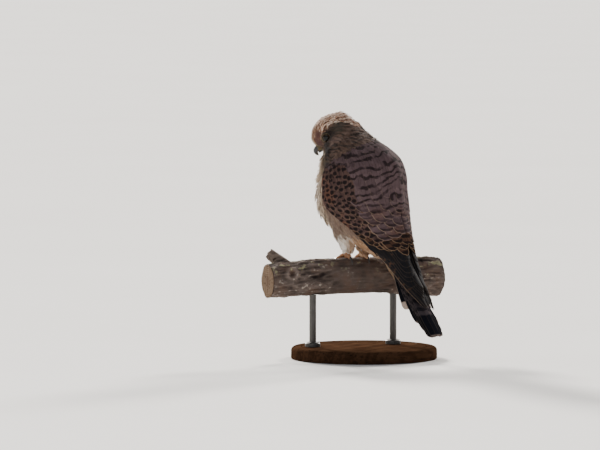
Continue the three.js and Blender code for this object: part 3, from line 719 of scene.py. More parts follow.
def joined_vanes(name, vanes, scale=0.001, start=FEET, spots=None):
    """One piece from many vanes. Each is (upper, lower, barbs) on its own grid of points.
    Its map OFBake gives each vane a cell of its own, or a patch at its spot if spots are given."""
    points, faces, barbs, draws, maps = [], [], [], [], []
    cells = math.ceil(math.sqrt(len(vanes)))
    count = 0
    for k, (upper, lower, barb) in enumerate(vanes):
        rows, columns = upper.shape[0] - 1, upper.shape[1] - 1
        at = np.arange((rows + 1) * (columns + 1)).reshape(rows + 1, columns + 1)
        below = at + at.size
        top = np.stack([at[:-1, :-1], at[1:, :-1], at[1:, 1:], at[:-1, 1:]], -1).reshape(-1, 4)
        rings = np.concatenate([at[:-1, 0], at[-1, :-1], at[:0:-1, -1], at[0, :0:-1]])
        after = np.roll(rings, -1)
        rims = np.stack([after, rings, rings + at.size, after + at.size], -1)
        sheet = np.concatenate([top, (top + at.size)[:, ::-1], rims])
        i, j = rows // 2, columns // 2
        facing = np.cross(upper[i + 1, 0] - upper[i, 0], upper[i, columns] - upper[i, 0])
        if np.dot(facing, upper[i, j] - lower[i, j]) < 0:
            sheet = sheet[:, ::-1]
        u, v = np.meshgrid(np.linspace(0, 1, columns + 1), np.linspace(0, 1, rows + 1))
        if spots is None:
            cell = np.array([k % cells, k // cells]) / cells
            laid = [
                np.stack([u * 0.42 + 0.04 + 0.5 * s, v * 0.92 + 0.04], -1) / cells + cell
                for s in (0, 1)
            ]
        else:
            laid = [spots[k] + (np.stack([u, v], -1) - 0.5) * 0.003] * 2
        points += [upper.reshape(-1, 3), lower.reshape(-1, 3)]
        barbs += [barb.reshape(-1, 3)] * 2
        maps += [m.reshape(-1, 2) for m in laid]
        draws.append(np.full(2 * at.size, (k * 0.618) % 1))
        faces.append(sheet + count)
        count += 2 * at.size
    points = np.concatenate(points) * scale + np.array(start)
    faces = np.concatenate(faces)
    mesh = bpy.data.meshes.new(name)
    mesh.vertices.add(len(points))
    mesh.vertices.foreach_set("co", points.ravel())
    mesh.loops.add(faces.size)
    mesh.loops.foreach_set("vertex_index", faces.ravel().astype(np.int32))
    mesh.polygons.add(len(faces))
    mesh.polygons.foreach_set("loop_start", np.arange(0, faces.size, 4, dtype=np.int32))
    mesh.update(calc_edges=True)
    layer = mesh.uv_layers.new(name="OFBake")
    layer.data.foreach_set("uv", np.concatenate(maps)[faces.ravel()].ravel().astype(np.float32))
    piece = only(new_piece(name, mesh))
    keep(piece, "barb", np.concatenate(barbs))
    keep(piece, "draw", np.concatenate(draws))
    bpy.ops.object.shade_smooth_by_angle(angle=math.radians(50))
    return piece


# Each tier is count, first and last width, turn, first root and tip, last root and tip, and the
# outline and bow where they aren't ROUNDED and 0. A root or tip is (reach, share across, lift),
# and bow is how far the line of tips bulges.
FLIGHT_TIERS = (
    (9, 11.5, 12, 9, (106, 0.93, 1.2), (210, 0.50, 0.8), (122, 0.42, 1.6), (190, 0.12, 4.4),
     POINTED, 10),
    (4, 14, 15, 5, (112, 0.50, 1.6), (213, 0.36, 0.6), (120, 0.16, 1.8), (208, 0.03, 1.2),
     POINTED, 0),
    (6, 14, 15, 4, (104, 0.80, 2.2), (187, 0.46, 4.6), (94, 0.40, 2.6), (154, 0.30, 5.8),
     BLUNT, 0),
    (5, 10, 10, -2, (88, 0.95, 2.4), (126, 0.94, 3.6), (98, 0.78, 2.6), (152, 0.62, 5.0)),
)
SECOND_TIERS = (
    (4, 17, 18, 3, (88, 0.34, 2.6), (145, 0.26, 6.2), (82, 0.08, 2.8), (134, 0.09, 7.0)),
    (7, 11, 12, -3, (78, 0.95, 2.6), (107, 0.945, 4.6), (100, 0.62, 2.8), (135, 0.66, 6.0)),
    (4, 15, 17, 2, (96, 0.60, 3.0), (138, 0.52, 6.6), (88, 0.30, 3.0), (131, 0.26, 7.2)),
)
COVERT_TIERS = (
    (7, 10, 11, -3, (66, 0.965, 2.4), (97, 0.95, 5.0), (88, 0.58, 2.6), (126, 0.62, 6.6)),
    (7, 9.5, 11, -3, (56, 0.965, 2.4), (86, 0.95, 5.0), (77, 0.58, 2.6), (113, 0.62, 6.5)),
    (7, 9, 10.5, -3, (47, 0.965, 2.4), (75, 0.95, 4.9), (66, 0.58, 2.6), (101, 0.61, 6.3)),
    (7, 9, 10, -3, (38, 0.96, 2.4), (65, 0.95, 4.8), (56, 0.58, 2.6), (89, 0.60, 6.1)),
    (7, 8.5, 9.5, -3, (30, 0.955, 2.4), (55, 0.95, 4.7), (46, 0.60, 2.6), (78, 0.60, 5.9)),
    (7, 8, 9, -3, (23, 0.95, 2.3), (46, 0.945, 4.6), (37, 0.60, 2.5), (67, 0.60, 5.7)),
    (7, 8, 8.5, -3, (17, 0.94, 2.1), (38, 0.94, 4.4), (30, 0.61, 2.4), (57, 0.60, 5.5)),
    (7, 7.5, 8, -3, (12, 0.93, 1.9), (30, 0.93, 4.1), (23, 0.62, 2.3), (47, 0.61, 5.3)),
    (6, 7, 7.5, -3, (9, 0.92, 1.6), (23, 0.92, 3.8), (17, 0.64, 2.1), (38, 0.63, 5.0)),
)
SCAPULAR_TIERS = (
    (3, 21, 23, 3, (92, 0.47, 3.0), (126, 0.46, 7.6), (86, 0.09, 3.0), (120, 0.08, 7.8)),
    (4, 20, 22, 3, (81, 0.52, 2.8), (114, 0.52, 7.2), (75, 0.06, 2.8), (108, 0.06, 7.3)),
    (4, 19, 21, 3, (70, 0.50, 2.7), (102, 0.50, 6.9), (65, 0.08, 2.7), (97, 0.085, 7.0)),
    (4, 18, 20, 3, (60, 0.54, 2.6), (91, 0.55, 6.5), (55, 0.05, 2.6), (86, 0.055, 6.5)),
    (4, 17, 19, 3, (51, 0.53, 2.5), (81, 0.54, 6.1), (47, 0.07, 2.5), (76, 0.075, 6.0)),
    (5, 16, 17, 3, (43, 0.56, 2.4), (71, 0.57, 5.7), (39, 0.05, 2.3), (67, 0.05, 5.3)),
    (5, 15, 16, 3, (36, 0.57, 2.4), (62, 0.58, 5.4), (32, 0.07, 2.1), (58, 0.07, 4.7)),
    (6, 13, 14, 3, (29, 0.59, 2.2), (54, 0.60, 5.0), (26, 0.045, 1.9), (50, 0.045, 4.1)),
    (6, 12.5, 13, 3, (23, 0.61, 2.0), (46, 0.62, 4.6), (20, 0.06, 1.6), (43, 0.065, 3.6)),
    (7, 12, 12, 2, (18, 0.64, 1.8), (39, 0.65, 4.2), (15, 0.04, 1.4), (36, 0.04, 3.2)),
    (9, 9, 9.5, 2, (13, 0.69, 1.6), (32, 0.70, 3.8), (11, 0.05, 1.2), (30, 0.05, 2.8)),
    (10, 8, 8.5, 2, (9, 0.76, 1.4), (26, 0.77, 3.5), (7, 0.035, 1.0), (24, 0.035, 2.5)),
    (11, 7.5, 7.5, 2, (6, 0.84, 1.1), (20, 0.85, 3.2), (4, 0.045, 0.9), (18, 0.045, 2.3)),
    (12, 7, 7, 1, (3, 0.90, 0.9), (15, 0.91, 2.9), (2, 0.03, 0.8), (13, 0.03, 2.1)),
)


def wing_vanes(side, tiers, rows, columns, seed):
    draw = np.random.default_rng(seed)
    vanes = []
    for count, first, last, turn, *ends in tiers:
        root_a, tip_a, root_b, tip_b = (np.array(e, float) for e in ends[:4])
        outline, bow = ends[4:] or (ROUNDED, 0)
        for i in range(count):
            t = i / (count - 1)
            stray = draw.normal(0, 1, 3) * (1.4, 0.012, 0.12)
            tip = mix(tip_a, tip_b, t) + stray
            tip[0] += bow * math.sin(math.pi * min(1, t * 1.7))
            root = mix(root_a, root_b, t)
            width = mix(first, last, t) * draw.uniform(0.95, 1.06)
            vanes.append(wing_vane(side, root, tip, width, turn, outline, rows, columns, draw))
    return vanes


def wing_pad(side):
    """The flesh that the quills are rooted in, as one more thick vane."""
    along, across = np.linspace(0, 1, 41)[:, None], np.linspace(-1, 1, 25)[None, :]
    reach = mix(11, 134, along) + 0 * across
    share = 0.5 + 0.485 * across + 0 * along
    rim = np.minimum(np.minimum(8 * along, 8 * (1 - along) + 0.2), 6 * (1 - np.abs(across)))
    rim = np.clip(rim, 0, 1)
    high = mix(1.3, 3.2, soft(reach, 15, 70)) - 0.8 * soft(reach, 95, 130)
    upper = wing_point(side, reach, share, mix(0.9, high, rim))
    lower = wing_point(side, reach, share, 0.5 + 0 * reach)
    return upper, lower, np.stack(np.broadcast_arrays(across * 8, 40 + 0 * along, 99), -1)


def vane_parts(place, fineness=1.0):
    """What a vane's material reads: the lines of its barbs, which run out and forward from the
    shaft, the place out from the shaft, back from the tip and in from the rim in mm, the vane's
    own draw, and a wobble for its marks."""
    barb = place.read("barb", "Vector")
    out, back = barb.axis("X"), barb.axis("Y")
    lines = ((back + abs(out) * 0.9) * (9.0 * fineness)).sine() * 0.5 + 0.5
    wobble = (place.grain(240, 3) - 0.5) * 1.6
    return lines, out, back, barb.axis("Z"), place.read("draw"), wobble


def quill(out, colour, tone, share=1):
    """The shaft as a thin line down the middle."""
    return (abs(out).rise(0.42, 0.22) * share).between(colour, tone)


def feathered(colour, lines, rough=0.62):
    """A vane's colour, with the roughness and relief of its barbs."""
    colour.into("Base Color")
    (lines * 0.12 + rough).into("Roughness")
    lines.raised(0.35, 0.00025)


flight, place = finish("flight_feathers", Specular_IOR_Level=0.02)
lines, out, back, rim, draw, wobble = vane_parts(place)
blade = (lines * 0.4 + place.grain(120) * 0.6).between((0.005, 0.006, 0.008), (0.023, 0.021, 0.023))
notches = ((back + wobble * 1.5) * 0.72).sine().rise(0.35, 0.8)
notches = notches * out.rise(1.2, 3.0) * back.rise(22, 34)
blade = (notches * 0.5).between(blade, (0.12, 0.062, 0.040))
fringe = (rim + wobble * 0.25).rise(0.75, 0.35)
leading = draw.rise(0.02, 0.0)
blade = (fringe * (leading * 0.7 + 0.14)).between(blade, (0.26, 0.19, 0.14))
feathered(quill(out, blade, (0.022, 0.017, 0.014)), lines, fringe * 0.15 + 0.62)

barred, place = finish("barred_feathers", Specular_IOR_Level=0.0)
lines, out, back, rim, draw, wobble = vane_parts(place)
tone = place.grain(90, 4) * 0.7 + draw * 0.3
rufous = tone.between((0.046, 0.026, 0.020), (0.115, 0.062, 0.043))
curved = back - abs(out) * 0.22 + wobble + draw * 2
bars = (curved * 0.70 - 1.2).sine().rise(-0.15, 0.35)
rufous = (bars * 0.92).between(rufous, (0.013, 0.011, 0.012))
fringe = (rim + wobble * 0.5).rise(1.2, 0.5)
rufous = (fringe * 0.8).between(rufous, (0.27, 0.175, 0.110))
rufous = (lines * 0.25).between(rufous, (0.008, 0.006, 0.006))
feathered(quill(out, rufous, (0.022, 0.014, 0.011)), lines)

spotted, place = finish("covert_feathers", Specular_IOR_Level=0.0)
lines, out, back, rim, draw, wobble = vane_parts(place, 1.2)
tone = place.grain(100, 4) * 0.7 + draw * 0.4
rufous = tone.between((0.042, 0.027, 0.027), (0.132, 0.080, 0.069))
rust = place.grain(42, 2, at=(3, 1, 2)).rise(0.52, 0.66)
rufous = (rust * 0.45).between(rufous, (0.165, 0.070, 0.040))
aside = out + (draw - 0.5) * 3 + wobble
reach = ((aside / 3.0) ** 2 + ((back - 4.2 + wobble * 2.4) / (draw * 1.4 + 1.6)) ** 2) ** 0.5
spot = reach.rise(1.2, 0.75).higher((abs(out) + wobble).rise(0.9, 0.3) * back.rise(3, 5) * 0.45)
second = ((aside / 4.0) ** 2 + ((back - 12.0 + wobble * 2.4) / 2.3) ** 2) ** 0.5
spot = spot.higher(second.rise(1.15, 0.8))
rufous = (spot * 0.93).between(rufous, (0.012, 0.010, 0.011))
fringe = (rim + wobble * 0.7).rise(0.95, 0.35)
shown = place.axis("Z").rise(0.190, 0.155) * 0.5 + 0.12
rufous = (fringe * shown).between(rufous, (0.27, 0.18, 0.12))
rufous = (lines * 0.22).between(rufous, (0.010, 0.007, 0.007))
# The wing pad, whose rim reads 99, is near-black: painted shade in the parting between the wings.
feathered(rim.rise(20, 40).between(rufous, (0.016, 0.011, 0.010)), lines, 0.70)

mantled, place = finish("scapular_feathers", Specular_IOR_Level=0.02)
lines, out, back, rim, draw, wobble = vane_parts(place, 1.1)
tone = place.grain(80, 4) * 0.7 + draw * 0.4
mauve = tone.between((0.056, 0.037, 0.040), (0.152, 0.103, 0.110))
low = place.axis("Z").rise(0.190, 0.150)
rust = place.grain(60, 2, at=(7, 1, 2)).rise(0.45, 0.7) * low
mauve = (rust * 0.6).between(mauve, (0.130, 0.062, 0.038))
curved = back - (out * out) * 0.04 + wobble * 1.2 + draw * 0.8
own = curved.rise(1.4, 2.8) * curved.rise(6.0, 4.4)
own = own.higher(curved.rise(12.4, 13.8) * curved.rise(17.6, 16.0))
across = place.axis("Z") + abs(place.axis("X")) * 0.16 - place.axis("Y") * 0.20
across = (across * 720 + place.grain(36, 3) * 22 + wobble * 0.7 + draw * 0.9).sine().rise(0.1, 0.65)
across = across * place.grain(75, 2, at=(2, 9, 4)).rise(0.36, 0.52)
bars = across * (low * -0.75 + 1) + own * (low * 0.7 + 0.1)
mauve = (bars * 0.86).between(mauve, (0.016, 0.011, 0.012))
fringe = (rim + wobble * 0.6).rise(0.95, 0.35)
shown = place.axis("Z").rise(0.200, 0.150) * 0.62 + 0.10
# Paler fringes on the right wing, whose far edge catches the light from behind: a painted rim
# highlight.
shown = shown.higher(place.axis("X").rise(-0.004, -0.008) * 0.4)
mauve = (fringe * shown).between(mauve, (0.34, 0.24, 0.175))
mauve = (lines * 0.22).between(mauve, (0.008, 0.006, 0.007))
feathered(quill(out, mauve, (0.022, 0.014, 0.013), 0.4), lines, 0.68)

wings = []
for name, side in SIDES:
    node = "wing_" + name
    for kind, tiers, material, rows, columns, seed in (
        ("primaries", FLIGHT_TIERS, flight, 22, 8, 11),
        ("secondaries", SECOND_TIERS, barred, 18, 8, 12),
        ("coverts", COVERT_TIERS, spotted, 14, 8, 13),
        ("scapulars", SCAPULAR_TIERS, mantled, 16, 8, 14),
    ):
        vanes = wing_vanes(side, tiers, rows, columns, seed + side)
        if kind == "coverts":
            vanes.append(wing_pad(side))
        piece = joined_vanes(f"{node}_{kind}", vanes)
        settle(piece, material, "flight_feathers" if kind == "primaries" else "plumage", node)
        wings.append(piece)

draw = np.random.default_rng(15)
back_row = []
for reach in np.arange(14, 94, 6.0):
    lift = np.interp(reach, (13, 43, 76, 100), (2.7, 4.2, 6.6, 7.6))
    stray = draw.normal(0, 0.008)
    root, tip = (max(1, reach - 27), stray, lift * 0.42), (reach, stray, lift)
    width = np.interp(reach, (14, 94), (12, 18))
    back_row.append(wing_vane(1, root, tip, width, 0, ROUNDED, 16, 10, draw, -0.3))
middle_row = joined_vanes("mid_back_feathers", back_row)
settle(middle_row, mantled, "plumage")
wings.append(middle_row)

# ------------------------------------------------------------------ The tail
# Twelve tail feathers, closed and stacked with the middle pair on top, the outer ones shorter,
# and the rows of coverts above and below that hide their quills.
TAIL_LENGTH = 147
TAIL_SHARES = (0.985, 0.985, 0.975, 0.925, 0.84, 0.70)
SQUARED = ((0, 0.15, 0.4, 0.8, 0.95, 0.985, 1), (0.5, 0.8, 0.95, 1, 0.95, 0.82, 0.5))
TAIL_ROOT = np.array([0, 40, 35])
TAIL_WAY = np.array([0, 0.559, -0.829])
TAIL_BACK = np.array([0, 0.829, 0.559])


def tail_vane(root, tip, width, outline, rows, columns, draw, stop=False):
    """root and tip are (beside, reach, lift) in mm. stop keeps the vane on its own side."""
    along, across, edge = vane_grid(rows, columns, outline, 0.012, draw)
    half = np.where(across < 0, edge[:, :1], edge[:, 1:]) * width / 2
    off = across * half
    beside = mix(root[0], tip[0], along) + off
    if stop:
        beside = np.sign(tip[0]) * np.maximum(0.2, np.sign(tip[0]) * beside)
    reach = mix(root[1], tip[1], along) + 0 * off
    camber = 0.3 * (1 - across**2)
    shaft = 0.2 * np.exp(-((across / 0.07) ** 2)) * (1 - 0.75 * along)
    thick = 0.12 * (1 - 0.5 * np.abs(across))
    droop = np.where(beside > 0, 0.012, 0.006) * beside**2
    rise = mix(root[2], tip[2], along) - droop + camber

    def at(lift):
        return (
            TAIL_ROOT
            + reach[..., None] * TAIL_WAY
            + beside[..., None] * np.array([1, 0, 0])
            + (rise + lift)[..., None] * TAIL_BACK
        )

    length = tip[1] - root[1]
    rim = np.clip(np.minimum(half - np.abs(off), (1 - along) * length * 1.2), 0, 99)
    barbs = np.stack(np.broadcast_arrays(off, (1 - along) * length, rim), -1)
    return at(shaft + thick), at(-thick), barbs


def covert_rows(rows, length, root_lift, width, stray, draw):
    """Rows of coverts. Each row is its tips' reach and lift, its count and half its spread."""
    made = []
    for end, lift, count, spread in rows:
        for x in np.linspace(-spread, spread, count):
            root = (x * 0.5, end - length, root_lift)
            tip = (x, end - 0.06 * x * x + draw.normal(0, stray), lift)
            made.append(tail_vane(root, tip, width, ROUNDED, 14, 6, draw))
    return made


draw = np.random.default_rng(5)
tail_vanes = []
for side in (1, -1):
    fans = (0, 1.5, 3, 5, 8.5, 13.5) if side > 0 else (0, 6.4, 12.8, 19, 25, 31)
    for i, (share, fan) in enumerate(zip(TAIL_SHARES, fans)):
        layer = (0 if side > 0 else -0.9) if i == 0 else -0.9 * (i + 1)
        root = (side * (1 + 0.7 * i), 50, layer * 0.9)
        tip = (side * (1.2 + fan), TAIL_LENGTH * share, layer)
        outline = SQUARED if i < 3 and side > 0 else BLUNT
        vane = tail_vane(root, tip, 18.5 - i, outline, 34, 10, draw, i > 0)
        vane[2][..., 1] -= (0, 0, 0, 0, 1.5, 7.5)[i]
        tail_vanes.append(vane)
over_rows = ((92, 2.0, 5, 8.8), (80, 2.7, 4, 8), (68, 3.3, 4, 8))
under_rows = ((82, -6.6, 5, 6), (72, -7.2, 5, 6.75), (62, -7.6, 5, 7.5))
tail_coverts = covert_rows(over_rows, 44, 1.2, 12, 0.8, draw)
under_coverts = covert_rows(under_rows, 50, -5.0, 13, 1.0, draw)

tail_barred, place = finish("tail_feathers", Specular_IOR_Level=0.0)
lines, out, back, rim, draw_wire, wobble = vane_parts(place)
tone = place.grain(70, 4) * 0.7 + draw_wire * 0.3
mauve = tone.between((0.034, 0.030, 0.036), (0.098, 0.080, 0.086))
curved = back - abs(out) * 0.18 + wobble * 0.8 + draw_wire * 2.2
bars = (curved * 0.571).sine().rise(0.05, 0.5)
mauve = (bars * 0.85).between(mauve, (0.013, 0.013, 0.018))
band = (curved - draw_wire * 2.2).rise(29, 26.5) * back.rise(1.6, 3.4)
mauve = band.between(mauve, (0.008, 0.009, 0.013))
outermost = draw_wire.rise(0.05, 0.08) * draw_wire.rise(0.14, 0.11)
ends = (back + wobble * 0.5).rise(3.2, 1.8) * (outermost * 0.75 + 0.18)
mauve = ends.between(mauve, (0.68, 0.53, 0.44))
edged = (rim + wobble * 0.2).rise(0.7, 0.3) * (outermost * 0.65 + 0.15)
mauve = edged.between(mauve, (0.34, 0.27, 0.22))
mauve = (lines * 0.2).between(mauve, (0.012, 0.010, 0.011))
feathered(quill(out, mauve, (0.030, 0.022, 0.020)), lines, 0.66)
tail = joined_vanes("tail_feathers", tail_vanes)
settle(tail, tail_barred, "flight_feathers", "tail")
coverts = joined_vanes("tail_coverts", tail_coverts)
settle(coverts, spotted, "plumage", "tail")

under_buff, place = finish("under_tail_feathers", Roughness=0.85, Specular_IOR_Level=0.05)
lines, out, back, *_ = vane_parts(place)
buff = place.grain(120, 3).between((0.40, 0.26, 0.15), (0.62, 0.45, 0.30))
buff = (abs(out).rise(1.1, 0.4) * back.rise(1, 5) * 0.7).between(buff, (0.060, 0.036, 0.026))
(lines * 0.15).between(buff, (0.2, 0.13, 0.08)).into("Base Color")
settle(joined_vanes("under_tail_coverts", under_coverts), under_buff, "plumage", "tail")

# ------------------------------------------------------------------ The small feathers
# Thousands of small body feathers over the skin: bristle-fine round the bill, short on the crown,
# broad and soft on breast and flanks, long and loose on thighs and belly. Each follows the skin
# from its root, back from the bill on the head and down towards the tail on the body.
TRIES = 60000  # random spots tried for each coat
HEAD_COAT = 0.0295  # how far the head's coat reaches from the head's middle
NECK_FROM, BODY_TO, TROUSERS_TO = FEET.z + 0.094, FEET.z + 0.098, FEET.z + 0.058
EYE_BARE, BILL_BARE = 0.0069, 0.0011  # no feather is rooted nearer than this
BILL_ROOT = out_of_head([0, -0.020, -0.004])
SHANK_WAY = Vector((0, -0.22, -1)).normalized()
EYES = [out_of_head([side * EYE_PLACE.x, EYE_PLACE.y, EYE_PLACE.z]) for side in (1, -1)]


def tree_of(*pieces):
    points, faces = [], []
    for piece in pieces:
        start = len(points)
        points += [v.co.copy() for v in piece.data.vertices]
        faces += [tuple(start + i for i in f.vertices) for f in piece.data.polygons]
    return BVHTree.FromPolygons(points, faces)


bill_tree = tree_of(*(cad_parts[n] for n in ("cere", "bill_upper", "bill_lower")))
thigh_tree = tree_of(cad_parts["thigh_left"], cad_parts["thigh_right"])
wing_tree = tree_of(*wings)


def flow(point):
    """The way in which feathers lie at a point, before it is laid on the skin."""
    away = point - Vector(BILL_ROOT)
    down = Vector((0, 0.30, -1))
    share = min(max((away.length - 0.030) / 0.028, 0), 1)
    way = away.normalized() * (1 - share) + down.normalized() * share
    for eye in EYES:
        to_eye = Vector(eye) - point
        if to_eye.length < 0.012:
            toward = way.dot(to_eye.normalized())
            if toward > 0:
                way -= to_eye.normalized() * toward * min(1, (0.012 - to_eye.length) / 0.003)
    return way


def scatter(tree_piece, wanted, spacing, seed):
    """Evenly spread points on the skin where wanted(points) holds, spacing(points) apart."""
    draw = np.random.default_rng(seed)
    mesh = tree_piece.data
    mesh.calc_loop_triangles()
    corners = np.array([t.vertices[:] for t in mesh.loop_triangles])
    co = read_points(tree_piece)
    a, b, c = (co[corners[:, k]] for k in range(3))
    area = np.linalg.norm(np.cross(b - a, c - a), axis=1) / 2
    inside = wanted((a + b + c) / 3)
    area = area * inside
    picked = draw.choice(len(area), TRIES, p=area / area.sum())
    u, v = draw.random((2, len(picked), 1))
    u, v = np.where(u + v > 1, 1 - u, u), np.where(u + v > 1, 1 - v, v)
    spots = a[picked] + u * (b - a)[picked] + v * (c - a)[picked]
    gaps = spacing(spots)
    cell = gaps.max()
    around = list(itertools.product((-1, 0, 1), repeat=3))
    taken, kept = {}, []
    for index, (spot, gap) in enumerate(zip(spots, gaps)):
        x, y, z = (spot // cell).astype(int).tolist()
        close = any(
            np.dot(spot - spots[other], spot - spots[other]) < gap * gap
            for i, j, k in around
            for other in taken.get((x + i, y + j, z + k), ())
        )
        if not close:
            taken.setdefault((x, y, z), []).append(index)
            kept.append(index)
    return spots[kept]


def feather_paths(roots, lengths, rows, hang):
    """Each feather's centre line on the skin, with the skin's normals and the way at each point.
    hang is how freely each one's outer part falls clear of the skin."""
    lines, ups, ways = [], [], []
    for root, length, loose in zip(roots, lengths, hang):
        point, up, *_ = skin_tree.find_nearest(Vector(root))
        line, normal_line, way_line = [], [], []
        way = flow(point)
        for k in range(rows + 1):
            way = way * 0.6 + flow(point).normalized() * 0.4
            way = (way - up * way.dot(up)).normalized()
            line.append(tuple(point))
            normal_line.append(tuple(up))
            way_line.append(tuple(way))
            way = way.lerp(SHANK_WAY, 0.4 * loose)
            free = point + way * (length / rows)
            laid, laid_up, *_ = skin_tree.find_nearest(free)
            share = loose * min(1, k / 2)
            point, up = laid.lerp(free, share), laid_up.lerp(up, share).normalized()
        lines.append(line)
        ups.append(normal_line)
        ways.append(way_line)
    return np.array(lines), np.array(ups), np.array(ways)


def covered(roots, lengths):
    """True where a wing hides both a feather's root and its tip."""
    hidden = []
    for root, length in zip(roots, lengths):
        point, up, *_ = skin_tree.find_nearest(Vector(root))
        way = flow(point)
        way = (way - up * way.dot(up)).normalized()
        tip, tip_up, *_ = skin_tree.find_nearest(point + way * length)
        over = [
            wing_tree.ray_cast(at + n * 0.0002, n, 0.012)[0] is not None
            for at, n in ((point, up), (tip, tip_up))
        ]
        hidden.append(all(over))
    return np.array(hidden)


def coat(name, wanted, size, gap, lift, rows, columns, ragged, seed, soft_tip=0.25, hang=None):
    """A coat piece. At any points, size gives lengths and widths and lift how far tips stand up,
    in metres, and hang gives feather_paths its share."""
    draw = np.random.default_rng(seed)
    roots = scatter(skin, wanted, lambda p: gap * np.sqrt(np.prod(size(p), axis=0)), seed)
    lengths, widths = size(roots)
    seen = ~covered(roots, lengths)
    roots, lengths, widths = roots[seen], lengths[seen], widths[seen]
    lengths = lengths * draw.uniform(0.85, 1.15, len(roots))
    loose = hang(roots) if hang else np.zeros(len(roots))
    lines, ups, ways = (a[:, :, None] for a in feather_paths(roots, lengths, rows, loose))
    sides = np.cross(ways, ups)
    n = len(roots)
    along, across = np.linspace(0, 1, rows + 1)[:, None], np.linspace(-1, 1, columns + 1)
    shape = np.interp(along, (0, 0.15, 0.45, 0.75, 0.92, 1), (0.35, 0.7, 1, 0.85, 0.5, soft_tip))
    long, half = lengths[:, None, None], shape * widths[:, None, None] / 2
    off = across * half
    reach = off + draw.normal(0, 0.10, (n, 1, 1)) * along * long
    run = draw.normal(0, ragged, (n, 1, columns + 1)) * soft(along, 0.4, 1) * long
    stand = lift(roots)[:, None, None] * draw.uniform(0.7, 1.3, (n, 1, 1)) * along**1.2
    stand = stand + 0.00012 - 0.10 * half * across**2
    thick = 0.00006 + 0.00008 * (1 - along) + 0 * reach
    base = lines + sides * reach[..., None] + ways * run[..., None]
    upper = base + ups * (stand + thick)[..., None]
    lower = base + ups * (stand - thick)[..., None]
    back = (1 - along) * long + 0 * reach
    barbs = np.stack([off, back, np.minimum(half - np.abs(off), back)], -1) * 1000
    low, high = roots.min(0), roots.max(0)
    middle = (low + high) / 2
    turned = np.arctan2(roots[:, 0] - middle[0], -(roots[:, 1] - middle[1])) / (2 * math.pi) + 0.5
    height = (roots[:, 2] - low[2]) / (high[2] - low[2])
    spots = np.stack([turned, height], 1) * 0.96 + 0.02
    piece = joined_vanes(name, list(zip(upper, lower, barbs)), 1, (0, 0, 0), spots)
    a_tuft = 2 * (rows + 1) * (columns + 1)
    for field, values in markings(roots).items():
        keep(piece, field, np.repeat(values, a_tuft))
    keep(piece, "headward", in_head(read_points(piece)) * 1000)
    settle(piece, coat_finish, "plumage")
    return piece


def from_head(points):
    return np.linalg.norm(in_head(points) - np.array([0, -0.001, -0.002]), axis=1)


def free_of_face(points):
    """Leaves the eyes and the bill bare."""
    clear = np.ones(len(points), bool)
    for eye in EYES:
        clear &= np.linalg.norm(points - eye, axis=1) > EYE_BARE
    for k, point in enumerate(points):
        if clear[k] and np.linalg.norm(point - BILL_ROOT) < 0.014:
            found = bill_tree.find_nearest(Vector(point), BILL_BARE)
            clear[k] = found[0] is None
    return clear


def on_thigh(points):
    return np.array([thigh_tree.find_nearest(Vector(p), 0.0035)[0] is not None for p in points])


def head_size(points):
    away = np.linalg.norm(points - BILL_ROOT, axis=1)
    eye = np.min([np.linalg.norm(points - e, axis=1) for e in EYES], axis=0)
    length = np.minimum(np.interp(away, (0.006, 0.02, 0.045), (0.0022, 0.0040, 0.0068)), eye * 0.42)
    return length, length * 0.42


def body_size(points):
    p = points - np.array(FEET)
    low = soft(-p[:, 2], -0.085, -0.035)
    high = soft(p[:, 2], 0.095, 0.135)
    length = mix(mix(0.0125, 0.0165, low), 0.0085, high)
    return length, length * mix(0.62, 0.48, low)


def head_lift(points):
    """The hind crown's feathers stand up a little."""
    return 0.0006 + 0.0020 * soft(in_head(points)[:, 1], 0.013, 0.022)


def neck_lift(points):
    """Loose on the nape and looser on the throat."""
    return 0.0024 + 0.0022 * soft(FEET.y - points[:, 1], 0.006, 0.022)


def body_lift(points):
    """The breast stands out most, and the flanks lie close."""
    p = points - np.array(FEET)
    return 0.0014 + 0.0022 * soft(-p[:, 1], 0.006, 0.028) * soft(p[:, 2], 0.035, 0.060)


def between_thighs(points):
    """The underside between the legs, whose long feathers hang with those of the thighs."""
    p = points - np.array(FEET)
    return (p[:, 2] < 0.036) & (p[:, 1] > -0.006) & (p[:, 1] < 0.014) & (np.abs(p[:, 0]) < 0.016)


def on_body(points):
    """All below the head and neck but the thighs and the place between them."""
    low = (from_head(points) >= HEAD_COAT) & (points[:, 2] <= BODY_TO)
    return low & ~on_thigh(points) & ~between_thighs(points)


def thigh_lift(points):
    """The trousers' lowest feathers stand well off the leg."""
    return 0.0016 + 0.0030 * (1 - soft(points[:, 2] - FEET.z, 0.014, 0.028))


def thigh_size(points):
    length = np.interp(points[:, 2] - FEET.z, (0.008, 0.022, 0.05), (0.0085, 0.0130, 0.0150))
    length += 0.005 * soft(points[:, 1] - FEET.y, 0.004, 0.012)
    return length, length * 0.30


coat_finish, place = finish(
    "small_feathers", Specular_IOR_Level=0.1, Sheen_Weight=0.12, Roughness=0.85
)
barb = place.read("barb", "Vector")
out, back, rim = barb.axis("X"), barb.axis("Y"), barb.axis("Z")
draw_wire = place.read("draw")
strands = ((out + back * 0.35) * 14 + draw_wire * 40).sine() * 0.5 + 0.5
streak = (abs(out) + back * 0.12).rise(1.7, 1.0) * back.rise(0.4, 1.3)
edge = rim.rise(0.55, 0.2)
tinted = plumage_colour(place, streak * (0.55 + draw_wire * 0.45), edge)
shadowed = strands * (0.22 - place.read("belly") * 0.18)
shadowed.between(tinted, (0.045, 0.030, 0.022)).into("Base Color")
strands.raised(0.3, 0.0002)

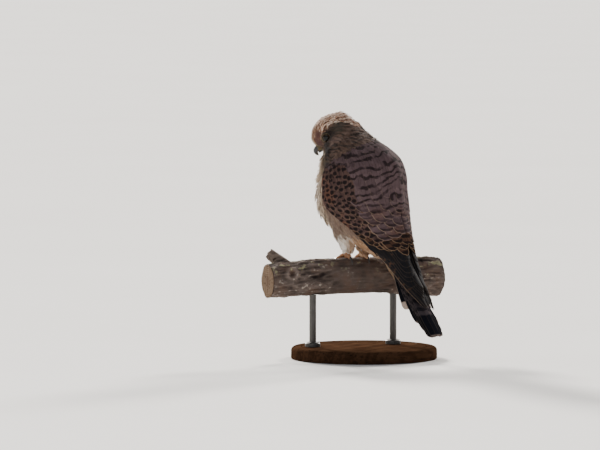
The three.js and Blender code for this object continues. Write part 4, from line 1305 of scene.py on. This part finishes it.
coat(
    "coat_head",
    lambda p: (from_head(p) < HEAD_COAT) & free_of_face(p),
    head_size, 0.62, head_lift, 4, 2, 0.05, 21,
)
coat(
    "coat_neck",
    lambda p: (from_head(p) >= HEAD_COAT - 0.001) & (p[:, 2] > NECK_FROM),
    lambda p: (0.0085 + 0 * p[:, 0], 0.0044 + 0 * p[:, 0]), 0.40, neck_lift, 6, 4, 0.06, 22,
)
coat("coat_body", on_body, body_size, 0.36, body_lift, 6, 4, 0.06, 23, 0.32)
coat(
    "coat_thighs",
    lambda p: (on_thigh(p) & (p[:, 2] < TROUSERS_TO)) | between_thighs(p),
    thigh_size, 0.40, thigh_lift, 7, 4, 0.10, 24, 0.30,
    lambda p: 1 - soft(p[:, 2] - FEET.z, 0.016, 0.034),
)

# ------------------------------------------------------------------ The eyes
# Dark brown glass eyes set in the sockets, each in a narrow ring of bare yellowish skin.
EYE_RADIUS = 0.0062
RING_RADIUS, RING_THICK, RING_OUT = 0.0051, 0.00065, 0.0040
eye_glass, place = finish("eye_glass", Roughness=0.08, IOR=1.38, Specular_IOR_Level=0.35)
iris = place.read("from_pupil")
flecks = place.grain(2200, 3)
brown = flecks.between((0.012, 0.006, 0.003), (0.034, 0.017, 0.008))
brown = iris.rise(0.86, 1.02).between(brown, (0.010, 0.007, 0.006))
iris.rise(0.55, 0.49).between(brown, (0.002, 0.002, 0.002)).into("Base Color")

ring_skin, place = finish("bare_skin", Specular_IOR_Level=0.4)
crease = place.grain(1500, 3)
tone = place.grain(200, 2)
(tone * 0.6 + crease * 0.4).between((0.060, 0.044, 0.022), (0.140, 0.103, 0.048)).into("Base Color")
(0.42 + crease * 0.25).into("Roughness")
crease.raised(0.5, 0.0003)

for name, side in SIDES:
    centre = Vector(out_of_head([side * EYE_PLACE.x, EYE_PLACE.y, EYE_PLACE.z]))
    outward = HEAD_TURN @ Vector((side * 0.95, -0.30, 0.03)).normalized()
    deselect()
    bpy.ops.mesh.primitive_uv_sphere_add(
        segments=56, ring_count=36, radius=EYE_RADIUS, location=centre
    )
    eye = bpy.context.object
    eye.name = "eye_glass_" + name
    bpy.ops.object.transform_apply(location=True)
    points = read_points(eye)
    reach = (points - np.array(centre)) @ np.array(outward) / EYE_RADIUS
    turned = np.arccos(np.clip(reach, -1, 1))
    bulge = 1 + 0.05 * soft(-turned, -1.0, -0.4)
    points = np.array(centre) + (points - np.array(centre)) * bulge[:, None]
    set_points(eye, points)
    keep(eye, "from_pupil", turned)
    bpy.ops.object.shade_smooth()
    settle(eye, eye_glass, "eye", "eye_" + name)

    deselect()
    bpy.ops.mesh.primitive_torus_add(
        major_radius=RING_RADIUS, minor_radius=RING_THICK, major_segments=72, minor_segments=14,
        location=centre + outward * RING_OUT, rotation=outward.to_track_quat("Z", "Y").to_euler(),
    )
    ring = bpy.context.object
    ring.name = "eye_ring_" + name
    bpy.ops.object.transform_apply(location=True, rotation=True)
    settle(ring, ring_skin, "bare_skin")

# ------------------------------------------------------------------ The bill
# A short hooked falcon's bill of blue-grey horn with a notch behind its tip. Its root is the
# cere, a yellow skin with the round nostrils in it, and the lower half fits inside the upper.
CERE_END = 0.0240
UPPER_BILL = ((0, -16, -3.6), (0, -24.5, -2.8), (0, -30.2, -2), (0, -28.4, -10))
LOWER_BILL = ((0, -15, -8), (0, -22.5, -8.3), (0, -26.2, -7.5))
GAPE = ((3.2, -23.0, -7.0), (8.0, -19.0, -7.8), (12.0, -14.5, -7.6))
NOSTRIL = (4.2, -22.6, -2.0)


def bezier(corners, shares):
    """Points and ways along a Bezier curve through its first and last corner."""
    corners = np.array(corners, float)
    order = len(corners) - 1
    s = np.asarray(shares)[:, None]
    point = sum(
        math.comb(order, k) * s**k * (1 - s) ** (order - k) * corners[k] for k in range(order + 1)
    )
    steps = np.diff(corners, axis=0) * order
    way = sum(
        math.comb(order - 1, k) * s**k * (1 - s) ** (order - 1 - k) * steps[k] for k in range(order)
    )
    return point, way / np.linalg.norm(way, axis=1)[:, None]


def tapered(name, line, ways, wide, high, round_count, sideways):
    """A closed form round a line, from pole to pole, with half widths and half heights."""
    side = np.array(sideways) - ways * (ways @ np.array(sideways))[:, None]
    side /= np.linalg.norm(side, axis=1)[:, None]
    over = np.cross(ways, side)
    turn = np.linspace(0, 2 * math.pi, round_count, endpoint=False)
    rings = (
        line[:, None]
        + side[:, None] * (wide[:, None] * np.cos(turn))[..., None]
        + over[:, None] * (high[:, None] * np.sin(turn))[..., None]
    )
    count, n = len(line), round_count
    points = np.concatenate([rings.reshape(-1, 3), line[:1], line[-1:]])
    at = np.arange(count * n).reshape(count, n)
    after = np.roll(at, -1, axis=1)
    faces = np.stack([at[:-1], after[:-1], after[1:], at[1:]], -1).reshape(-1, 4).tolist()
    faces += [[after[0, k], at[0, k], count * n] for k in range(n)]
    faces += [[at[-1, k], after[-1, k], count * n + 1] for k in range(n)]
    mesh = bpy.data.meshes.new(name)
    mesh.from_pydata(points.tolist(), [], faces)
    piece = only(new_piece(name, mesh))
    bpy.ops.object.mode_set(mode="EDIT")
    bpy.ops.mesh.select_all(action="SELECT")
    bpy.ops.mesh.normals_make_consistent(inside=False)
    bpy.ops.object.mode_set(mode="OBJECT")
    bpy.ops.object.shade_smooth()
    return piece


def place_in_head(piece, points):
    """Sets the points, in mm in the head's frame, in place on the bird."""
    set_points(piece, out_of_head(points * 0.001))


horn, place = finish("bill_horn", Specular_IOR_Level=0.4, Coat_Roughness=0.25, Coat_Weight=0.1)
tip = place.read("toward_tip")
growth = place.grain(900, 3, (1, 1, 0.4))
slate = growth.between((0.018, 0.018, 0.021), (0.046, 0.045, 0.048))
tip.rise(0.35, 0.85).between(slate, (0.010, 0.010, 0.011)).into("Base Color")
(0.30 + growth * 0.18).into("Roughness")
growth.raised(0.2, 0.0002)

shares = np.linspace(0, 0.995, 110)
line, ways = bezier(UPPER_BILL, shares)
wide = 5.6 * (1 - shares) ** 0.75 + 0.15
high = 4.5 * (1 - shares) ** 0.55 + 0.2
upper_bill = tapered("bill_upper_horn", line, ways, wide, high, 64, (1, 0, 0))
points = read_points(upper_bill)
under = soft(-points[:, 2], 5.4, 7.2) * soft(-points[:, 1], 23.6, 25.4)
under *= soft(points[:, 1], -28.0, -26.4)
points[:, 2] -= 1.0 * under * np.clip(np.abs(points[:, 0]) / 1.6, 0, 1)
ridge = soft(-np.abs(points[:, 0]), -1.6, 0) * (points[:, 2] > -6)
points[:, 2] += 0.2 * ridge
keep(upper_bill, "toward_tip", soft(-points[:, 1] - 0.55 * (points[:, 2] + 3), 24, 34))
place_in_head(upper_bill, points)

cere = new_piece("cere_skin", upper_bill.data.copy())
settle(upper_bill, horn, "bill", "bill_upper")
back_part = soft(points[:, 1], -CERE_END * 1000 - 0.5, -CERE_END * 1000 + 0.3)
centre = np.array([0, 0, -4.2])
swell = 1 + 0.075 * back_part
points[:, [0, 2]] = (points[:, [0, 2]] - centre[[0, 2]]) * swell[:, None] + centre[[0, 2]]
for side in (1, -1):
    hole = np.array(NOSTRIL) * (side, 1, 1)
    away = np.linalg.norm(points - hole, axis=1)
    inward = (centre - points) * (1, 0, 1)
    inward /= np.linalg.norm(inward, axis=1)[:, None] + 1e-6
    dent = 1.0 * np.exp(-((away / 0.62) ** 4)) - 0.25 * np.exp(-(((away - 1.15) / 0.35) ** 2))
    points += inward * dent[:, None]
place_in_head(cere, points)
only(cere)
bpy.ops.object.mode_set(mode="EDIT")
front = Vector(out_of_head([0, -CERE_END - 0.0003, -0.005]))
bpy.ops.mesh.select_all(action="SELECT")
bpy.ops.mesh.bisect(
    plane_co=front, plane_no=HEAD_TURN @ Vector((0, -1, 0.12)), clear_outer=True, use_fill=True
)
bpy.ops.object.mode_set(mode="OBJECT")
bpy.ops.object.shade_smooth_by_angle(angle=math.radians(50))
settle(cere, ring_skin, "bare_skin", "cere")

shares = np.linspace(0, 0.99, 60)
line, ways = bezier(LOWER_BILL, shares)
wide = 4.3 * (1 - shares) ** 0.5 + 0.2
high = 2.1 * (1 - shares) ** 0.4 + 0.2
lower_bill = tapered("bill_lower_horn", line, ways, wide, high, 40, (1, 0, 0))
points = read_points(lower_bill)
keep(lower_bill, "toward_tip", soft(-points[:, 1], 22, 30))
place_in_head(lower_bill, points)
settle(lower_bill, horn, "bill", "bill_lower")

for name, side in SIDES:
    line, ways = bezier(np.array(GAPE) * (side, 1, 1), np.linspace(0, 1, 24))
    thick = 0.55 * np.sin(np.linspace(0.25, 1, 24) * math.pi * 0.98) + 0.12
    gape = tapered("gape_" + name, line, ways, thick, thick * 0.8, 12, (0, 0, 1))
    place_in_head(gape, read_points(gape))
    settle(gape, ring_skin, "bare_skin")

# ------------------------------------------------------------------ The feet
# Orange-yellow feet grip the branch with three toes forward and one back. Broad scutes lap down
# the front of the shank and the top of each toe, small scales cover the rest, and a curved
# black claw grows from each toe.
FEET_SPREAD = 10.5
FEET_SHIFT = 3
CLAW_LENGTH = 9
CLAW_RINGS, CLAW_SIDES = 36, 20
SHANK_RINGS = 90
SCUTED_SIDES = 28
TOES = (
    # name, spread in degrees, length, thickness and way
    ("middle", 2, 25, 2.5, 1),
    ("inner", -19, 17, 2.5, 1),
    ("outer", 26, 18, 2.2, 1),
    ("hind", 0, 12, 2.6, -1),
)
UP = np.array([0, 0, 1])


def on_branch(along, round_way, height):
    """A point over the branch in mm from the feet: along it, round it, and up from its bark."""
    reach = (BRANCH_RADIUS * 1000 + height)[..., None]
    return (
        -UP * BRANCH_RADIUS * 1000
        + along[..., None] * np.array(BRANCH_WAY)
        + reach * np.array(BRANCH_FRONT) * np.sin(round_way)[..., None]
        + reach * UP * np.cos(round_way)[..., None]
    )


def ways_along(line):
    ways = np.gradient(line, axis=0)
    return ways / np.linalg.norm(ways, axis=1)[:, None]


def toe_line(foot, spread, way, start, end, height, count):
    run = np.linspace(start, end, count)
    spread = math.radians(spread)
    round_way = way * run * math.cos(spread) / (BRANCH_RADIUS * 1000 + 3)
    line = on_branch(foot + run * math.sin(spread), round_way, height)
    return line, ways_along(line)


scaled, place = finish("scaled_skin", Specular_IOR_Level=0.4)
pebbles = place.node(
    "TexVoronoi", {"feature": "DISTANCE_TO_EDGE"}, {"Vector": place, "Scale": 1500.0}
)
tone = place.grain(160, 3)
plate = place.read("plate")
orange = tone.between((0.29, 0.125, 0.055), (0.50, 0.255, 0.125))
# Darker in the grooves between the small scales and between the plates: painted shade in the
# creases.
painted_crease_shade = pebbles.rise(0.10, 0.02) * 0.5 + plate.rise(0.22, 0.0) * 0.7
(painted_crease_shade.lower(0.85)).between(orange, (0.20, 0.085, 0.035)).into("Base Color")
(0.46 + tone * 0.2).into("Roughness")
(pebbles.rise(0.0, 0.16) * (1 - plate.rise(0.1, 0.4) * 0.7)).raised(0.5, 0.0003)

claw_horn, place = finish("claw_horn", Specular_IOR_Level=0.5, Coat_Weight=0.4, Coat_Roughness=0.15)
growth = place.grain(1200, 3)
root_share = place.read("toward_tip")
dark = growth.between((0.012, 0.011, 0.012), (0.040, 0.037, 0.036))
root_share.rise(0.25, 0.0).between(dark, (0.085, 0.070, 0.055)).into("Base Color")
(0.22 + growth * 0.2).into("Roughness")


def scuted(name, line, ways, thick, count, sideways, top):
    """A toe or shank whose upper side is lapped with raised plates."""
    piece = tapered(name, line, ways, thick, thick, SCUTED_SIDES, sideways)
    points = read_points(piece)
    rings, n = len(line), SCUTED_SIDES
    centre = np.concatenate([np.repeat(line, n, axis=0), line[:1], line[-1:]])
    share = np.concatenate([np.repeat(np.linspace(0, 1, rings), n), [0, 1]])
    outward = points - centre
    outward /= np.linalg.norm(outward, axis=1)[:, None] + 1e-6
    above = soft(outward @ np.array(top), 0.05, 0.55)
    step = (share * count) % 1
    plate = above * np.clip(1 - np.abs(step - 0.45) / 0.55, 0, 1) ** 0.35
    pads = soft(-(outward @ np.array(top)), 0.2, 0.8) * np.sin(share * 3 * math.pi) ** 2
    points += outward * (plate * 0.30 - 0.12 * above + pads * 0.35)[:, None]
    set_points(piece, np.array(FEET) + points * 0.001)
    keep(piece, "plate", np.where(above > 0.5, plate, 1))
    return piece


for name, side in SIDES:
    foot = FEET_SHIFT - side * FEET_SPREAD
    parts = []
    for toe, spread, length, thick, way in TOES:
        count = 96 if length > 20 else 72
        share = np.linspace(0, 1, count)
        height = thick * (0.95 - 0.15 * share) + 3.2 * (1 - share) ** 2.2
        line, ways = toe_line(foot, -side * spread, way, 0, length, height, count)
        blunt = np.sqrt(np.clip(1 - ((share - 0.86) / 0.14).clip(0) ** 2, 0.02, 1))
        radius = thick * mix(1, 0.75, share) * blunt
        parts.append(scuted("toe", line, ways, radius, round(length * 0.55), UP, UP))
        share = np.linspace(0, 1, CLAW_RINGS)
        height = mix(thick * 0.85, 0.35, share) + 1.3 * np.sin(math.pi * share)
        start, end = length - 1.5, length + CLAW_LENGTH
        line, ways = toe_line(foot, -side * spread, way, start, end, height, CLAW_RINGS)
        radius = 1.55 * (1 - share) ** 0.7 + 0.06
        claw_name = f"claw_horn_{name}_{toe}"
        claw = tapered(claw_name, line, ways, radius, radius * 1.1, CLAW_SIDES, UP)
        keep(claw, "toward_tip", np.concatenate([np.repeat(share, CLAW_SIDES), [0, 1]]))
        set_points(claw, np.array(FEET) + read_points(claw) * 0.001)
        settle(claw, claw_horn, "claw", f"claw_{name}_{toe}")
    share = np.linspace(0, 1, SHANK_RINGS)
    rise = np.array([-0.5, 3, 14, 34])
    lean = np.array([(0, 0, 0), (0, 0.5, 0), (side, 3, 0), (side * 3, 10, 0)])
    low = on_branch(np.full(4, float(foot)), np.zeros(4), rise) + lean
    heights = np.linspace(low[0, 2], low[3, 2], SHANK_RINGS)
    line = np.stack([np.interp(heights, low[:, 2], low[:, k]) for k in range(3)], 1)
    for k in (0, 1):
        line[:, k] = np.convolve(np.pad(line[:, k], 8, "edge"), np.ones(17) / 17, "valid")
    radius = mix(3.3, 2.5, share)
    parts.append(scuted("shank", line, ways_along(line), radius, 11, (0, 1, 0), BRANCH_FRONT))
    deselect()
    for part in parts:
        part.select_set(True)
    bpy.context.view_layer.objects.active = parts[-1]
    bpy.ops.object.join()
    whole = bpy.context.object
    whole.name = "scaled_foot_" + name
    settle(whole, scaled, "bare_skin", "foot_" + name)

# ------------------------------------------------------------------ Floor, light and camera
# A plain pale floor that runs far back, three soft suns behind the bird for the pale rim on its
# crown, breast and back, which is partly painted highlight in the feathers' colour too, two lamps
# on the camera's side, and a camera level with the bird.
bpy.ops.mesh.primitive_plane_add(size=90, location=(0, 0, 0))
floor = bpy.context.object
floor.name = "studio_floor"
paper, place = finish("pale_paper", Roughness=0.9, Specular_IOR_Level=0.1)
place.grain(3, 2).between((0.74, 0.735, 0.72), (0.79, 0.785, 0.77)).into("Base Color")
floor.data.materials.append(paper)

AZIMUTH, ELEVATION = math.radians(128), math.radians(4)
FRAME_WIDTH = 0.690
CAMERA_AWAY = 7.5
SENSOR = 36
toward_camera = Vector(
    (
        math.sin(AZIMUTH) * math.cos(ELEVATION),
        -math.cos(AZIMUTH) * math.cos(ELEVATION),
        math.sin(ELEVATION),
    )
)
camera_right = Vector((math.cos(AZIMUTH), math.sin(AZIMUTH), 0))
camera_up = toward_camera.cross(camera_right)
framed = FEET - camera_right * 0.061 + camera_up * 0.0368
bpy.ops.object.camera_add(
    location=framed + toward_camera * CAMERA_AWAY,
    rotation=toward_camera.to_track_quat("Z", "Y").to_euler(),
)
camera = bpy.context.object
camera.data.sensor_width = SENSOR
camera.data.lens = SENSOR * CAMERA_AWAY / FRAME_WIDTH
camera.data.clip_start, camera.data.clip_end = 0.5, 200
bpy.context.scene.camera = camera


def lamp(name, place, size, power, colour):
    """A square lamp that faces the bird."""
    bpy.ops.object.light_add(type="AREA", location=place)
    made = bpy.context.object
    made.name = name
    made.rotation_euler = (Vector(place) - FEET).to_track_quat("Z", "Y").to_euler()
    made.data.size, made.data.energy, made.data.color = size, power, colour


def rim_sun(name, turn, height, energy, angle):
    """A soft sun behind the bird, turned this far from straight behind it."""
    bpy.ops.object.light_add(type="SUN", location=(-2, -1.6, 3))
    made = bpy.context.object
    made.name = name
    from_behind = AZIMUTH + math.pi + math.radians(turn)
    height = math.radians(height)
    level = math.cos(height)
    way = Vector((math.sin(from_behind) * level, -math.cos(from_behind) * level, math.sin(height)))
    made.rotation_euler = way.to_track_quat("Z", "Y").to_euler()
    made.data.energy, made.data.angle = energy, math.radians(angle)
    made.data.color = (1.0, 0.95, 0.89)


rim_sun("top_rim_sun", 0, 50, 2.4, 16)
rim_sun("left_rim_sun", 26, 20, 8.4, 10)
rim_sun("right_rim_sun", -30, 22, 4.2, 10)
lamp("front_lamp", (2.3, 1.1, 2.0), 2.2, 14, (0.95, 0.97, 1.0))
lamp("left_lamp", (1.2, -1.9, 1.0), 1.4, 6, (1.0, 0.98, 0.95))
world = bpy.data.worlds.new("studio")
world.use_nodes = True
world.node_tree.nodes["Background"].inputs["Color"].default_value = (0.95, 0.96, 1.0, 1)
world.node_tree.nodes["Background"].inputs["Strength"].default_value = 0.32
bpy.context.scene.world = world
